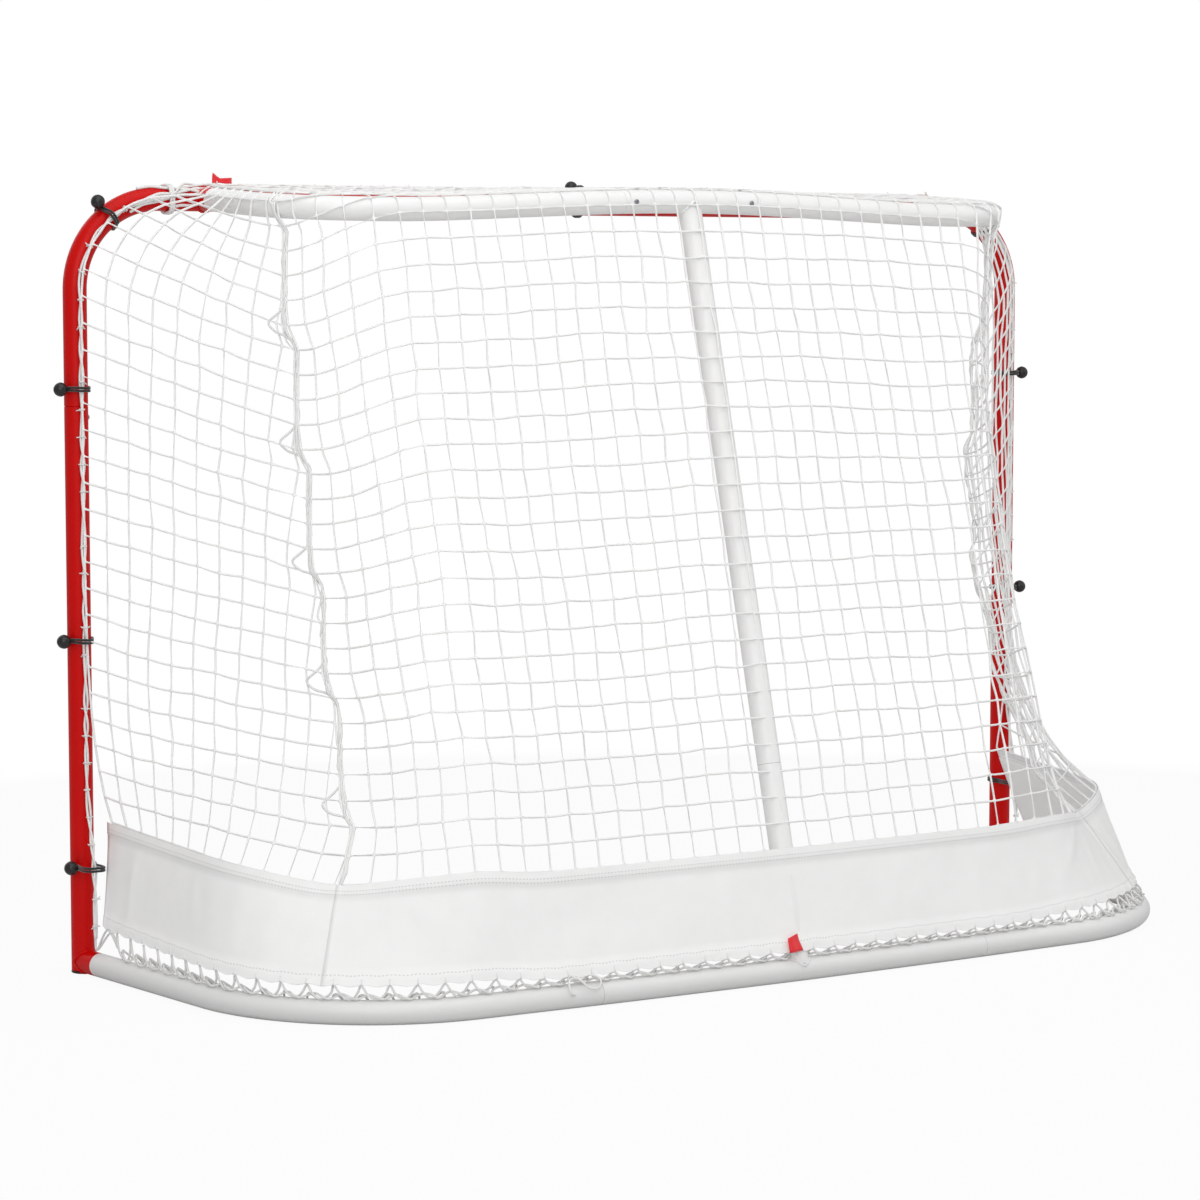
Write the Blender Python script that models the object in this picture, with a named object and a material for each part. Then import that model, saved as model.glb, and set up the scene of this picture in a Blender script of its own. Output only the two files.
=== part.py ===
"""Street hockey goal: a knock-down frame of steel tube, its net, its skirt and what ties them on.

Metres, +Z up. The mouth faces -Y. The origin is on the ground, under the middle of the goal.
Every outline below is drawn with the posts on y = 0, and one empty moves it all to the origin.
"""

import math

import bmesh
import bpy
from mathutils import Matrix, Vector

# The mouth: the clear width between the posts and the clear height under the crossbar
OPENING_WIDTH = 1.829
OPENING_HEIGHT = 1.219

# Steel tube, and the swaged spigots that join its lengths
TUBE_DIAMETER = 0.038
TUBE_WALL = 0.0015
TUBE_SIDES = 16
BORE_SIDES = 8
SPIGOT_LENGTH = 0.055
SPIGOT_CLEARANCE = 0.0004
SEAM_GAP = 0.0004
TOUCH_GAP = 0.0003

# Front frame
CORNER_RADIUS = 0.145
POST_SEAM_HEIGHT = 0.91
CROSSBAR_SEAM_X = 0.64
FOOT_THICKNESS = 0.004
FOOT_RADIUS = 0.0195
FOOT_PLUG_LENGTH = 0.022
FOOT_PLUG_WALL = 0.002

# Base hoop on the ground
BASE_DEPTH = 0.669
BASE_TOE_IN = math.radians(6.4)
BASE_CORNER_RADIUS = 0.33
BASE_BOW_RADIUS = 10.0
BASE_TEE_HALF = 0.37
BASE_STUB_LENGTH = 0.05

# Shelf hoop behind the crossbar; its corners hang a little
SHELF_X = 0.71
SHELF_DEPTH = 0.348
SHELF_CORNER_RADIUS = 0.15
SHELF_BOW_RADIUS = 5.0
SHELF_TEE_HALF = 0.13
SHELF_STUB_LENGTH = 0.045
SHELF_CORNER_DROP = 0.018
SHELF_CENTRE_DROP = 0.002
SHELF_DROP_SHIFT = 0.8

# Upright between the two hoops
UPRIGHT_SEAM_HEIGHT = 0.337

# Joint screws
SCREW_INSET = 0.018
SCREW_SHANK_RADIUS = 0.0018
SCREW_SHANK_LENGTH = 0.007
SCREW_HEAD_RADIUS = 0.0042
SCREW_HEAD_HEIGHT = 0.0026
SCREW_SIDES = 8

# Lacing rail inside the base hoop, and the cord laced round it
RAIL_RADIUS = 0.003
RAIL_STAND_OFF = 0.0045
RAIL_ANGLE = math.radians(165)
RAIL_END_CLEARANCE = 0.05
RAIL_SIDES = 6
CORD_RADIUS = 0.0015
LACING_TURNS_EACH_SIDE = 19
LACING_START = 0.075
UPRIGHT_CLEARANCE = 0.032

# Skirt
SKIRT_BOTTOM = 0.057
SKIRT_HEIGHT = 0.1627
SKIRT_THICKNESS = 0.002
SKIRT_BOTTOM_OFFSET = 0.0115
SKIRT_LEAN = 0.041
SKIRT_CORNER_LEAN = 0.066
SKIRT_CORNER_REACH = 0.27
SKIRT_START = 0.040
SKIRT_FOLD_DEPTH = 0.004
SKIRT_FOLD_PITCH = 0.17
SKIRT_FOLD_FADE = 0.1
SKIRT_SEAM = 0.598
SKIRT_ROWS = 3

# Net
STRAND_DIAMETER = 0.004
STRAND_GAP = 0.0004
NET_PITCH = 0.055
NET_WRAP_ANGLES = [math.radians(angle) for angle in (20, 48, 76)]
NET_SIDE_COLUMNS = 5
NET_POST_ROWS = 4
NET_BEND_ROWS = 3
NET_CORNER_COLUMNS = 3
NET_RUN_COLUMNS = 7
NET_SHELF_SEAM = 0.255
NET_SHELF_RUN = 0.44
NET_CORNER_SAG = 3.0
NET_CORNER_LIFT = 0.0016
NET_SHELF_START = 0.034
ROPE_RADIUS = 0.003
ROPE_BOTTOM = 0.062
ROPE_STAND_OFF = 0.0006
ROPE_TOP_ANGLE = math.radians(60)
ROPE_STUB_ANGLE = math.radians(87)

# Ball bungees: heights on the posts, and the place round each corner bend
BUNGEE_HEIGHTS = [0.17, 0.53, 0.93]
BUNGEE_CORNER_ANGLE = math.radians(52)
BALL_RADIUS = 0.011
BALL_NECK_RADIUS = 0.004
ELASTIC_RADIUS = 0.002
ELASTIC_PAIR = 0.0027
ELASTIC_SPREAD = 0.28
ELASTIC_EASE = 0.4
ELASTIC_STEPS = 8
ELASTIC_SIDES = 5
BALL_ANGLE = math.radians(68)
CROSSBAR_BALL_ANGLE = math.radians(124)

# Ribbon tags
RIBBON_THICKNESS = 0.001
BOW_LENGTH = 0.032
BOW_HEIGHT = 0.020
BOW_WAIST = 0.009
BOW_X = 0.70
FLAG_WIDTH = 0.024
FLAG_HEIGHT = 0.034

# Steps along each bend
CORNER_STEPS = 7
BASE_CORNER_STEPS = 9
BASE_BOW_STEPS = 4
SHELF_CORNER_STEPS = 5
SHELF_RUN_STEPS = 3
SHELF_BOW_STEPS = 4

# Sizes that follow from those above
TUBE_R = TUBE_DIAMETER / 2
BORE_R = TUBE_R - TUBE_WALL
SPIGOT_R = BORE_R * math.cos(math.pi / BORE_SIDES) - SPIGOT_CLEARANCE
SPIGOT_BORE_R = SPIGOT_R - TUBE_WALL
POST_X = OPENING_WIDTH / 2 + TUBE_R
CROSSBAR_Z = OPENING_HEIGHT + TUBE_R
STRAND_R = STRAND_DIAMETER / 2
SCREW_HOLE_R = SCREW_SHANK_RADIUS + SPIGOT_CLEARANCE
RAIL_DISTANCE = TUBE_R + RAIL_STAND_OFF + RAIL_RADIUS
ROPE_DISTANCE = TUBE_R + ROPE_STAND_OFF + ROPE_RADIUS
NET_FRONT = ROPE_DISTANCE + ROPE_RADIUS + STRAND_GAP + STRAND_R
NET_WRAP_STEP = NET_WRAP_ANGLES[1] - NET_WRAP_ANGLES[0]
NET_WRAP_R = (TUBE_R + STRAND_R + STRAND_GAP) / math.cos(NET_WRAP_STEP / 2)
NET_ROWS = NET_POST_ROWS + NET_BEND_ROWS + 1
NET_OVER_SKIRT = STRAND_R + STRAND_GAP
SEAM_SIDE_GAP = STRAND_R + CORD_RADIUS + STRAND_GAP
ELASTIC_RING_R = (TUBE_R + TOUCH_GAP + ELASTIC_RADIUS) / math.cos(math.pi / (ELASTIC_STEPS + 2))
ELASTIC_REACH = (NET_FRONT + STRAND_R + STRAND_GAP + ELASTIC_RADIUS) / math.cos(ELASTIC_SPREAD)
BALL_DISTANCE = ELASTIC_RING_R + ELASTIC_RADIUS + TOUCH_GAP + BALL_RADIUS
FRONT_REACH = BALL_RADIUS - BALL_DISTANCE * math.cos(CROSSBAR_BALL_ANGLE)
POST_Y = -(BASE_DEPTH + TUBE_R - FRONT_REACH) / 2
CUT_PAST = 0.004
STRAIGHT_LEG = 0.2

UP = Vector((0, 0, 1))
REAR = Vector((0, 1, 0))


class Route:
    """A line through points, measured by its length from the first one."""

    def __init__(self, points):
        self.points = points
        self.marks = [0.0]
        for a, b in zip(points, points[1:]):
            self.marks.append(self.marks[-1] + (b - a).length)
        self.length = self.marks[-1]

    def span(self, s):
        for index in range(1, len(self.marks) - 1):
            if s < self.marks[index]:
                return index - 1
        return len(self.points) - 2

    def at(self, s):
        index = self.span(s)
        a, b = self.points[index], self.points[index + 1]
        return a.lerp(b, (s - self.marks[index]) / (self.marks[index + 1] - self.marks[index]))

    def tangent(self, s, reach=0.004):
        return (self.at(s + reach) - self.at(s - reach)).normalized()

    def stations(self, start, end):
        inner = [mark for mark in self.marks if start + 1e-4 < mark < end - 1e-4]
        return [start] + inner + [end]


def mirrored(points):
    return [Vector((-p.x, p.y, p.z)) for p in points]


def whole(half):
    """A half route on the +X side and its mirror image, as one route."""
    return Route(half + mirrored(half[-2::-1]))


def fillet(before, corner, after, radius, steps):
    """Points of the arc that rounds a corner, from its first tangent point to its last."""
    into = (before - corner).normalized()
    out = (after - corner).normalized()
    half_angle = into.angle(out) / 2
    centre = corner + (into + out).normalized() * (radius / math.sin(half_angle))
    first = corner + into * (radius / math.tan(half_angle)) - centre
    axis = into.cross(out).normalized()
    turn = -(math.pi - 2 * half_angle)
    return [centre + Matrix.Rotation(turn * k / steps, 3, axis) @ first for k in range(steps + 1)]


def front_half():
    """From the ground, up the post, round the corner and along the crossbar to its middle."""
    foot = Vector((POST_X, 0, 0))
    corner = Vector((POST_X, 0, CROSSBAR_Z))
    middle = Vector((0, 0, CROSSBAR_Z))
    return [foot] + fillet(foot, corner, middle, CORNER_RADIUS, CORNER_STEPS) + [middle]


def bow(half, depth, radius, steps):
    """The shallow bow at the back of a hoop, from its joint to the middle, and its slope there."""
    slope = math.asin(half / radius)
    angles = [slope * (1 - k / steps) for k in range(steps + 1)]
    centre = Vector((0, depth - radius, 0))
    points = [centre + radius * Vector((math.sin(a), math.cos(a), 0)) for a in angles]
    return points, slope


def base_half():
    """From the post's axis, along the ground, round the rear corner to the middle."""
    start = Vector((POST_X, 0, 0))
    rear, slope = bow(BASE_TEE_HALF, BASE_DEPTH, BASE_BOW_RADIUS, BASE_BOW_STEPS // 2)
    joint = rear[0]
    leg = Vector((-math.sin(BASE_TOE_IN), math.cos(BASE_TOE_IN), 0))
    back = Vector((math.cos(slope), -math.sin(slope), 0))
    away = start - joint
    reach = (away.x * leg.y - away.y * leg.x) / (back.x * leg.y - back.y * leg.x)
    corner = joint + back * reach
    arc = fillet(start, corner, joint, BASE_CORNER_RADIUS, BASE_CORNER_STEPS)
    lift = Vector((0, 0, TUBE_R))
    return [point + lift for point in [start] + arc + rear]


def shelf_half():
    """From the crossbar's axis, back, round the corner to the middle, with the hanging corner."""
    start = Vector((SHELF_X, 0, 0))
    rear, slope = bow(SHELF_TEE_HALF, SHELF_DEPTH, SHELF_BOW_RADIUS, SHELF_BOW_STEPS // 2)
    joint = rear[0]
    corner = joint + Vector((1, -math.tan(slope), 0)) * (SHELF_X - joint.x)
    arc = fillet(start, corner, joint, SHELF_CORNER_RADIUS, SHELF_CORNER_STEPS)
    leg = [start.lerp(arc[0], k / 2) for k in range(2)]
    run = [arc[-1].lerp(joint, k / SHELF_RUN_STEPS) for k in range(1, SHELF_RUN_STEPS)]
    plan = Route(leg + arc + run + rear)
    points = []
    for point, mark in zip(plan.points, plan.marks):
        share = mark / plan.length
        drop = SHELF_CORNER_DROP * math.sin(math.pi * share**SHELF_DROP_SHIFT) ** 2
        height = CROSSBAR_Z - drop - SHELF_CENTRE_DROP * share
        points.append(Vector((point.x, point.y, height)))
    return points


FRONT = whole(front_half())
BASE = whole(base_half())
SHELF = whole(shelf_half())
UPRIGHT = Route([BASE.at(BASE.length / 2), SHELF.at(SHELF.length / 2)])


def side_route(route, side):
    return route if side > 0 else Route(mirrored(route.points))


def clear_scene():
    for obj in list(bpy.data.objects):
        bpy.data.objects.remove(obj, do_unlink=True)


def material(name, rgb, roughness, metallic=0.0):
    made = bpy.data.materials.get(name)
    if made is None:
        made = bpy.data.materials.new(name)
        made.use_nodes = True
        shader = made.node_tree.nodes["Principled BSDF"]
        shader.inputs["Base Color"].default_value = (*rgb, 1)
        shader.inputs["Roughness"].default_value = roughness
        shader.inputs["Metallic"].default_value = metallic
    return made


def red_paint():
    return material("red_powder_coat", (0.55, 0.012, 0.010), 0.35)


def white_paint():
    return material("white_powder_coat", (0.80, 0.80, 0.80), 0.40)


def black_plastic():
    return material("black_plastic", (0.012, 0.012, 0.012), 0.40)


def black_elastic():
    return material("black_elastic", (0.020, 0.020, 0.020), 0.80)


def zinc():
    return material("zinc_plate", (0.42, 0.42, 0.43), 0.35, 1.0)


def net_twine():
    return material("net_twine", (0.84, 0.84, 0.84), 0.75)


def skirt_cloth():
    return material("skirt_cloth", (0.78, 0.78, 0.78), 0.85)


def white_cord():
    return material("white_cord", (0.80, 0.80, 0.79), 0.80)


def red_ribbon():
    return material("red_ribbon", (0.85, 0.005, 0.010), 0.45)


def add_object(name, data, finish, origin):
    obj = bpy.data.objects.new(name, data)
    bpy.context.scene.collection.objects.link(obj)
    obj.parent = origin
    if finish is not None:
        data.materials.append(finish)
    return obj


def mesh_object(name, bm, finish, origin, smooth=True):
    bmesh.ops.recalc_face_normals(bm, faces=bm.faces)
    mesh = bpy.data.meshes.new(name)
    bm.to_mesh(mesh)
    bm.free()
    if smooth:
        mesh.shade_smooth()
        mesh.set_sharp_from_angle(angle=math.radians(35))
    return add_object(name, mesh, finish, origin)


def make_cutter(obj):
    obj.hide_render = True
    obj.display_type = "WIRE"
    return obj


def boolean(obj, operation, other):
    change = obj.modifiers.new(other.name, "BOOLEAN")
    change.operation = operation
    change.object = other


def loft(rings, sides):
    """A closed solid through rings of (centre, axis, side direction, radius)."""
    bm = bmesh.new()
    turns = [2 * math.pi * k / sides for k in range(sides)]
    loops = []
    for centre, axis, across, radius in rings:
        x = (across - axis * across.dot(axis)).normalized()
        y = axis.cross(x)
        places = [centre + radius * (math.cos(turn) * x + math.sin(turn) * y) for turn in turns]
        loops.append([bm.verts.new(place) for place in places])
    for lower, upper in zip(loops, loops[1:]):
        for k in range(sides):
            bm.faces.new((lower[k - 1], lower[k], upper[k], upper[k - 1]))
    bm.faces.new(loops[0][::-1])
    bm.faces.new(loops[-1])
    return bm


def sweep(route, runs, sides, hint):
    """A closed solid along a route, through runs of (start, end, radius)."""
    rings = []
    for start, end, radius in runs:
        for s in route.stations(start, end):
            rings.append((route.at(s), route.tangent(s), hint, radius))
    return loft(rings, sides)


def tube_runs(start, end, spigot_start, spigot_end):
    """Outer and bore runs of a tube between two seams, with a spigot past either seam."""
    outer = [(start, end, TUBE_R)]
    bore_start = start + TUBE_WALL if spigot_start else start - CUT_PAST
    bore_end = end - TUBE_WALL if spigot_end else end + CUT_PAST
    bore = [(bore_start, bore_end, BORE_R)]
    if spigot_start:
        outer.insert(0, (start - SPIGOT_LENGTH, start, SPIGOT_R))
        bore.insert(0, (start - SPIGOT_LENGTH - CUT_PAST, bore_start, SPIGOT_BORE_R))
    if spigot_end:
        outer.append((end, end + SPIGOT_LENGTH, SPIGOT_R))
        bore.append((bore_end, end + SPIGOT_LENGTH + CUT_PAST, SPIGOT_BORE_R))
    return outer, bore


def tube(name, route, start, end, hint, finish, origin, spigots=(False, False), branch=None):
    """A length of tube; branch is a welded stub of (route, end, hint, has a spigot)."""
    outer, bore = tube_runs(start, end, *spigots)
    obj = mesh_object(name, sweep(route, outer, TUBE_SIDES, hint), finish, origin)
    cutters = [mesh_object(name + "_bore", sweep(route, bore, BORE_SIDES, hint), None, origin)]
    if branch:
        stub_route, stub_end, stub_hint, has_spigot = branch
        outer, bore = tube_runs(TUBE_R / 4, stub_end, False, has_spigot)
        bore[0] = (TUBE_R + TUBE_WALL, bore[0][1], BORE_R)
        stub = sweep(stub_route, outer, TUBE_SIDES, stub_hint)
        boolean(obj, "UNION", make_cutter(mesh_object(name + "_stub", stub, None, origin)))
        hollow = sweep(stub_route, bore, BORE_SIDES, stub_hint)
        cutters.append(mesh_object(name + "_stub_bore", hollow, None, origin))
    for cutter in cutters:
        boolean(obj, "DIFFERENCE", make_cutter(cutter))
    return obj


def joint_screw(name, route, s, outward, pieces, origin):
    """A screw through the outer tube and the spigot inside it, with its hole in both."""
    centre, axis = route.at(s), route.tangent(s)
    outward = (outward - axis * outward.dot(axis)).normalized()
    seat = TUBE_R + TOUCH_GAP
    profile = [
        (seat - SCREW_SHANK_LENGTH, SCREW_SHANK_RADIUS),
        (seat, SCREW_SHANK_RADIUS),
        (seat, SCREW_HEAD_RADIUS),
        (seat + SCREW_HEAD_HEIGHT / 2, SCREW_HEAD_RADIUS),
        (seat + SCREW_HEAD_HEIGHT, SCREW_HEAD_RADIUS / 2),
    ]
    rings = [(centre + outward * d, outward, axis, radius) for d, radius in profile]
    mesh_object(name, loft(rings, SCREW_SIDES), zinc(), origin)
    hole = [(centre + outward * d, outward, axis, SCREW_HOLE_R) for d in (TUBE_R / 2, TUBE_DIAMETER)]
    cutter = make_cutter(mesh_object(name + "_hole", loft(hole, SCREW_SIDES), None, origin))
    for piece in pieces:
        boolean(piece, "DIFFERENCE", cutter)


def side_name(side):
    return "left" if side > 0 else "right"


def foot_cap(side, post, origin):
    """A moulded cap: a flange under the post and a hollow plug inside its bore."""
    axis_foot = Vector((side * POST_X, 0, 0))
    plug = BORE_R * math.cos(math.pi / BORE_SIDES) - SPIGOT_CLEARANCE
    top = FOOT_THICKNESS + FOOT_PLUG_LENGTH
    profile = [
        (0, FOOT_RADIUS),
        (FOOT_THICKNESS, FOOT_RADIUS),
        (FOOT_THICKNESS, plug),
        (top, plug),
        (top, plug - FOOT_PLUG_WALL),
        (FOOT_THICKNESS, plug - FOOT_PLUG_WALL),
    ]
    rings = [(axis_foot + UP * z, UP, REAR, radius) for z, radius in profile]
    name = "foot_cap_" + side_name(side)
    mesh_object(name, loft(rings, TUBE_SIDES), black_plastic(), origin)
    heights = (-FOOT_THICKNESS, FOOT_THICKNESS + TOUCH_GAP)
    room_radius = (FOOT_RADIUS + TOUCH_GAP) / math.cos(math.pi / TUBE_SIDES)
    room = [(axis_foot + UP * z, UP, REAR, room_radius) for z in heights]
    cutter = mesh_object(name + "_room", loft(room, TUBE_SIDES), None, origin)
    boolean(post, "DIFFERENCE", make_cutter(cutter))


def front_frame(origin):
    """Posts, corner bends and crossbar, painted red, with the stubs for both hoops."""
    bar_seam = FRONT.length / 2 - CROSSBAR_SEAM_X
    pieces = {}
    for side in (1, -1):
        word = side_name(side)
        front, base, shelf = (side_route(route, side) for route in (FRONT, BASE, SHELF))
        stub = (base, BASE_STUB_LENGTH, UP, True)
        post = tube(
            "lower_post_" + word, front, 0, POST_SEAM_HEIGHT - SEAM_GAP, REAR,
            red_paint(), origin, branch=stub,
        )
        foot_cap(side, post, origin)
        stub = (shelf, SHELF_STUB_LENGTH, UP, True)
        bend = tube(
            "corner_bend_" + word, front, POST_SEAM_HEIGHT, bar_seam - SEAM_GAP, REAR,
            red_paint(), origin, spigots=(True, False), branch=stub,
        )
        inward = Vector((-side, 0, 0))
        joint_screw("post_screw_" + word, front, POST_SEAM_HEIGHT - SCREW_INSET, inward, (post, bend), origin)
        pieces["post", side] = post
        pieces["bend", side] = bend
    bar = tube(
        "crossbar", FRONT, bar_seam, FRONT.length - bar_seam, REAR,
        red_paint(), origin, spigots=(True, True),
    )
    for side in (1, -1):
        front = side_route(FRONT, side)
        joint_screw(
            "crossbar_screw_" + side_name(side), front, bar_seam - SCREW_INSET, -UP,
            (bar, pieces["bend", side]), origin,
        )
    return pieces


def hoops(front, origin):
    """The base hoop, the shelf hoop and the upright between them, painted white."""
    base_seam = BASE.length / 2 - base_tee_reach()
    shelf_seam = SHELF.length / 2 - shelf_tee_reach()
    upright_seam = (UPRIGHT_SEAM_HEIGHT - TUBE_R) / UPRIGHT.tangent(UPRIGHT.length / 2).z
    up_from_base = (UPRIGHT, upright_seam, REAR, True)
    base_tee = tube(
        "base_tee", BASE, base_seam, BASE.length - base_seam, UP,
        white_paint(), origin, spigots=(True, True), branch=up_from_base,
    )
    down = Route(UPRIGHT.points[::-1])
    down_from_shelf = (down, down.length - upright_seam - SEAM_GAP, REAR, False)
    shelf_tee = tube(
        "shelf_tee", SHELF, shelf_seam, SHELF.length - shelf_seam, UP,
        white_paint(), origin, branch=down_from_shelf,
    )
    joint_screw("upright_screw", UPRIGHT, upright_seam + SCREW_INSET, -REAR, (base_tee, shelf_tee), origin)
    for side in (1, -1):
        word = side_name(side)
        base, shelf = side_route(BASE, side), side_route(SHELF, side)
        bend = tube(
            "base_bend_" + word, base, BASE_STUB_LENGTH + SEAM_GAP, base_seam - SEAM_GAP, UP,
            white_paint(), origin,
        )
        joint_screw(
            "base_stub_screw_" + word, base, BASE_STUB_LENGTH + SCREW_INSET, Vector((-side, 0, 0)),
            (bend, front["post", side]), origin,
        )
        joint_screw(
            "base_tee_screw_" + word, base, base_seam - SCREW_INSET, -REAR,
            (bend, base_tee), origin,
        )
        bend = tube(
            "shelf_bend_" + word, shelf, SHELF_STUB_LENGTH + SEAM_GAP, shelf_seam - SEAM_GAP, UP,
            white_paint(), origin, spigots=(False, True),
        )
        joint_screw(
            "shelf_stub_screw_" + word, shelf, SHELF_STUB_LENGTH + SCREW_INSET, Vector((-side, 0, 0)),
            (bend, front["bend", side]), origin,
        )
        joint_screw(
            "shelf_tee_screw_" + word, shelf, shelf_seam + SCREW_INSET, REAR,
            (bend, shelf_tee), origin,
        )


def base_tee_reach():
    return math.asin(BASE_TEE_HALF / BASE_BOW_RADIUS) * BASE_BOW_RADIUS


def shelf_tee_reach():
    return math.asin(SHELF_TEE_HALF / SHELF_BOW_RADIUS) * SHELF_BOW_RADIUS


def beside_base(base, s, offset, height):
    """A point beside the base hoop: offset outwards in plan from its centre line, at a height."""
    tangent = base.tangent(s)
    outward = tangent.cross(UP)
    if outward.y < 0:
        outward = -outward
    if abs(outward.y) < STRAIGHT_LEG:
        outward = outward if outward.x * base.at(s).x > 0 else -outward
    point = base.at(s) + outward * offset
    return Vector((point.x, point.y, height))


def rail_point(s, distance):
    offset = math.cos(RAIL_ANGLE) * distance
    return beside_base(BASE, s, offset, TUBE_R + math.sin(RAIL_ANGLE) * distance)


def lacing_rails(origin):
    """A thin rod along the inner side of each base tube, turned in at both ends to the tube."""
    first = BASE_STUB_LENGTH + RAIL_END_CLEARANCE
    seam = BASE.length / 2 - base_tee_reach()
    before, after = seam - RAIL_END_CLEARANCE, seam + RAIL_END_CLEARANCE
    spans = {
        "left": (first, before),
        "centre": (after, BASE.length - after),
        "right": (BASE.length - before, BASE.length - first),
    }
    foot = TUBE_R + TOUCH_GAP
    for word, (start, end) in spans.items():
        turn = RAIL_STAND_OFF + RAIL_RADIUS
        points = [rail_point(start, foot), rail_point(start, foot + turn / 2)]
        points += [rail_point(s, RAIL_DISTANCE) for s in BASE.stations(start + turn, end - turn)]
        points += [rail_point(end, foot + turn / 2), rail_point(end, foot)]
        route = Route(points)
        bm = sweep(route, [(0, route.length, RAIL_RADIUS)], RAIL_SIDES, UP)
        mesh_object("lacing_rail_" + word, bm, white_paint(), origin)


def cord_object(name, points, radius, resolution, finish, origin):
    curve = bpy.data.curves.new(name, "CURVE")
    curve.dimensions = "3D"
    curve.bevel_depth = radius
    curve.bevel_resolution = resolution
    curve.use_fill_caps = True
    curve.resolution_u = 1
    spline = curve.splines.new("POLY")
    spline.points.add(len(points) - 1)
    for knot, point in zip(spline.points, points):
        knot.co = (*point, 1)
    return add_object(name, curve, finish, origin)


def lacing_cord(origin):
    """The cord that goes to and fro between the skirt's hem and the rail."""
    hem_height = SKIRT_BOTTOM - CORD_RADIUS - 3 * TOUCH_GAP
    hem_offset = SKIRT_BOTTOM_OFFSET + TOUCH_GAP * 4
    rail_height = TUBE_R + math.sin(RAIL_ANGLE) * RAIL_DISTANCE + RAIL_RADIUS + CORD_RADIUS + 2 * TOUCH_GAP
    rail_offset = math.cos(RAIL_ANGLE) * RAIL_DISTANCE
    last = BASE.length / 2 - UPRIGHT_CLEARANCE
    half = []
    for turn in range(LACING_TURNS_EACH_SIDE):
        s = LACING_START + (last - LACING_START) * turn / (LACING_TURNS_EACH_SIDE - 1)
        if turn % 2 == 0:
            half.append(beside_base(BASE, s, hem_offset, hem_height))
        else:
            half.append(beside_base(BASE, s, rail_offset, rail_height))
    points = half + mirrored(half[::-1])
    cord_object("lacing_cord", points, CORD_RADIUS, 1, white_cord(), origin)


def corner_share(s):
    """How near a place along the base hoop is to a rear corner: 1 at its seam, 0 well away from it."""
    from_seam = min(abs(s - SKIRT_SEAM), abs(BASE.length - s - SKIRT_SEAM))
    return math.cos(math.pi / 2 * min(1, from_seam / SKIRT_CORNER_REACH)) ** 2


def skirt_lean(s):
    """How far the skirt's top lies inside its hem: the net pulls it in most at the corners."""
    return SKIRT_LEAN + SKIRT_CORNER_LEAN * corner_share(s)


def skirt_top(s):
    """The height of the skirt's top: the cloth is as wide all round, so it drops where it leans."""
    return SKIRT_BOTTOM + math.sqrt(SKIRT_HEIGHT**2 - skirt_lean(s) ** 2)


def skirt_knot(s):
    """The skirt's top where a column of the net is sewn to it."""
    return beside_base(BASE, s, SKIRT_BOTTOM_OFFSET - skirt_lean(s), skirt_top(s))


def skirt_edge(s):
    """The skirt's top, which runs straight from one column of the net to the next."""
    knots = side_net_places() + rear_net_places()
    knots += [BASE.length - knot for knot in side_net_places()[::-1]]
    index = max(1, min(len(knots) - 1, sum(knot < s for knot in knots)))
    before, after = knots[index - 1], knots[index]
    return skirt_knot(before).lerp(skirt_knot(after), (s - before) / (after - before))


def skirt_point(s, rise, start, end):
    """A point of the skirt's middle surface, with its folds between the top and the hem."""
    wave = (1 - math.cos(2 * math.pi * (s - BASE.length / 2) / SKIRT_FOLD_PITCH)) / 2
    fade = math.sin(math.pi * rise) * min(1, (s - start) / SKIRT_FOLD_FADE, (end - s) / SKIRT_FOLD_FADE)
    hem = beside_base(BASE, s, SKIRT_BOTTOM_OFFSET + SKIRT_FOLD_DEPTH * wave * fade, SKIRT_BOTTOM)
    flat = beside_base(BASE, s, SKIRT_BOTTOM_OFFSET, SKIRT_BOTTOM)
    return hem + (skirt_edge(s) - flat) * rise


def grid_mesh(rows):
    """An open sheet of quads through rows of points."""
    bm = bmesh.new()
    columns, lines = len(rows[0]), len(rows)
    bmesh.ops.create_grid(bm, x_segments=columns - 1, y_segments=lines - 1, size=1)
    bm.verts.ensure_lookup_table()
    for number, vert in enumerate(bm.verts):
        vert.co = rows[number // columns][number % columns]
    return bm


def skirt(origin):
    """Three panels sewn end to end, each a solid sheet."""
    gap = 2 * TOUCH_GAP
    spans = {
        "side_left": (SKIRT_START, SKIRT_SEAM - gap, 12),
        "rear": (SKIRT_SEAM, BASE.length - SKIRT_SEAM, 28),
        "side_right": (BASE.length - SKIRT_SEAM + gap, BASE.length - SKIRT_START, 12),
    }
    for word, (start, end, columns) in spans.items():
        rows = []
        for row in range(SKIRT_ROWS + 1):
            stations = [start + (end - start) * k / columns for k in range(columns + 1)]
            rows.append([skirt_point(s, row / SKIRT_ROWS, start, end) for s in stations])
        obj = mesh_object("skirt_" + word, grid_mesh(rows), skirt_cloth(), origin)
        wall = obj.modifiers.new("cloth", "SOLIDIFY")
        wall.thickness = SKIRT_THICKNESS
        wall.offset = 0


def side_net_places():
    """Where the columns of a side panel meet the skirt, along the base hoop."""
    seam = SKIRT_SEAM - SEAM_SIDE_GAP
    pitch = (seam - SKIRT_START) / NET_SIDE_COLUMNS
    return [SKIRT_START + pitch * column for column in range(NET_SIDE_COLUMNS + 1)]


def rear_net_places():
    """Where the columns of the rear panel meet the skirt, along the base hoop."""
    start = SKIRT_SEAM + SEAM_SIDE_GAP
    columns = NET_RUN_COLUMNS + 2 * NET_CORNER_COLUMNS
    pitch = (BASE.length - 2 * start) / columns
    return [start + pitch * column for column in range(columns + 1)]


def net_bottom(s):
    """A point of the net's bottom edge, just over the skirt."""
    return skirt_knot(s) + UP * (NET_OVER_SKIRT + NET_CORNER_LIFT * corner_share(s))


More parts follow.
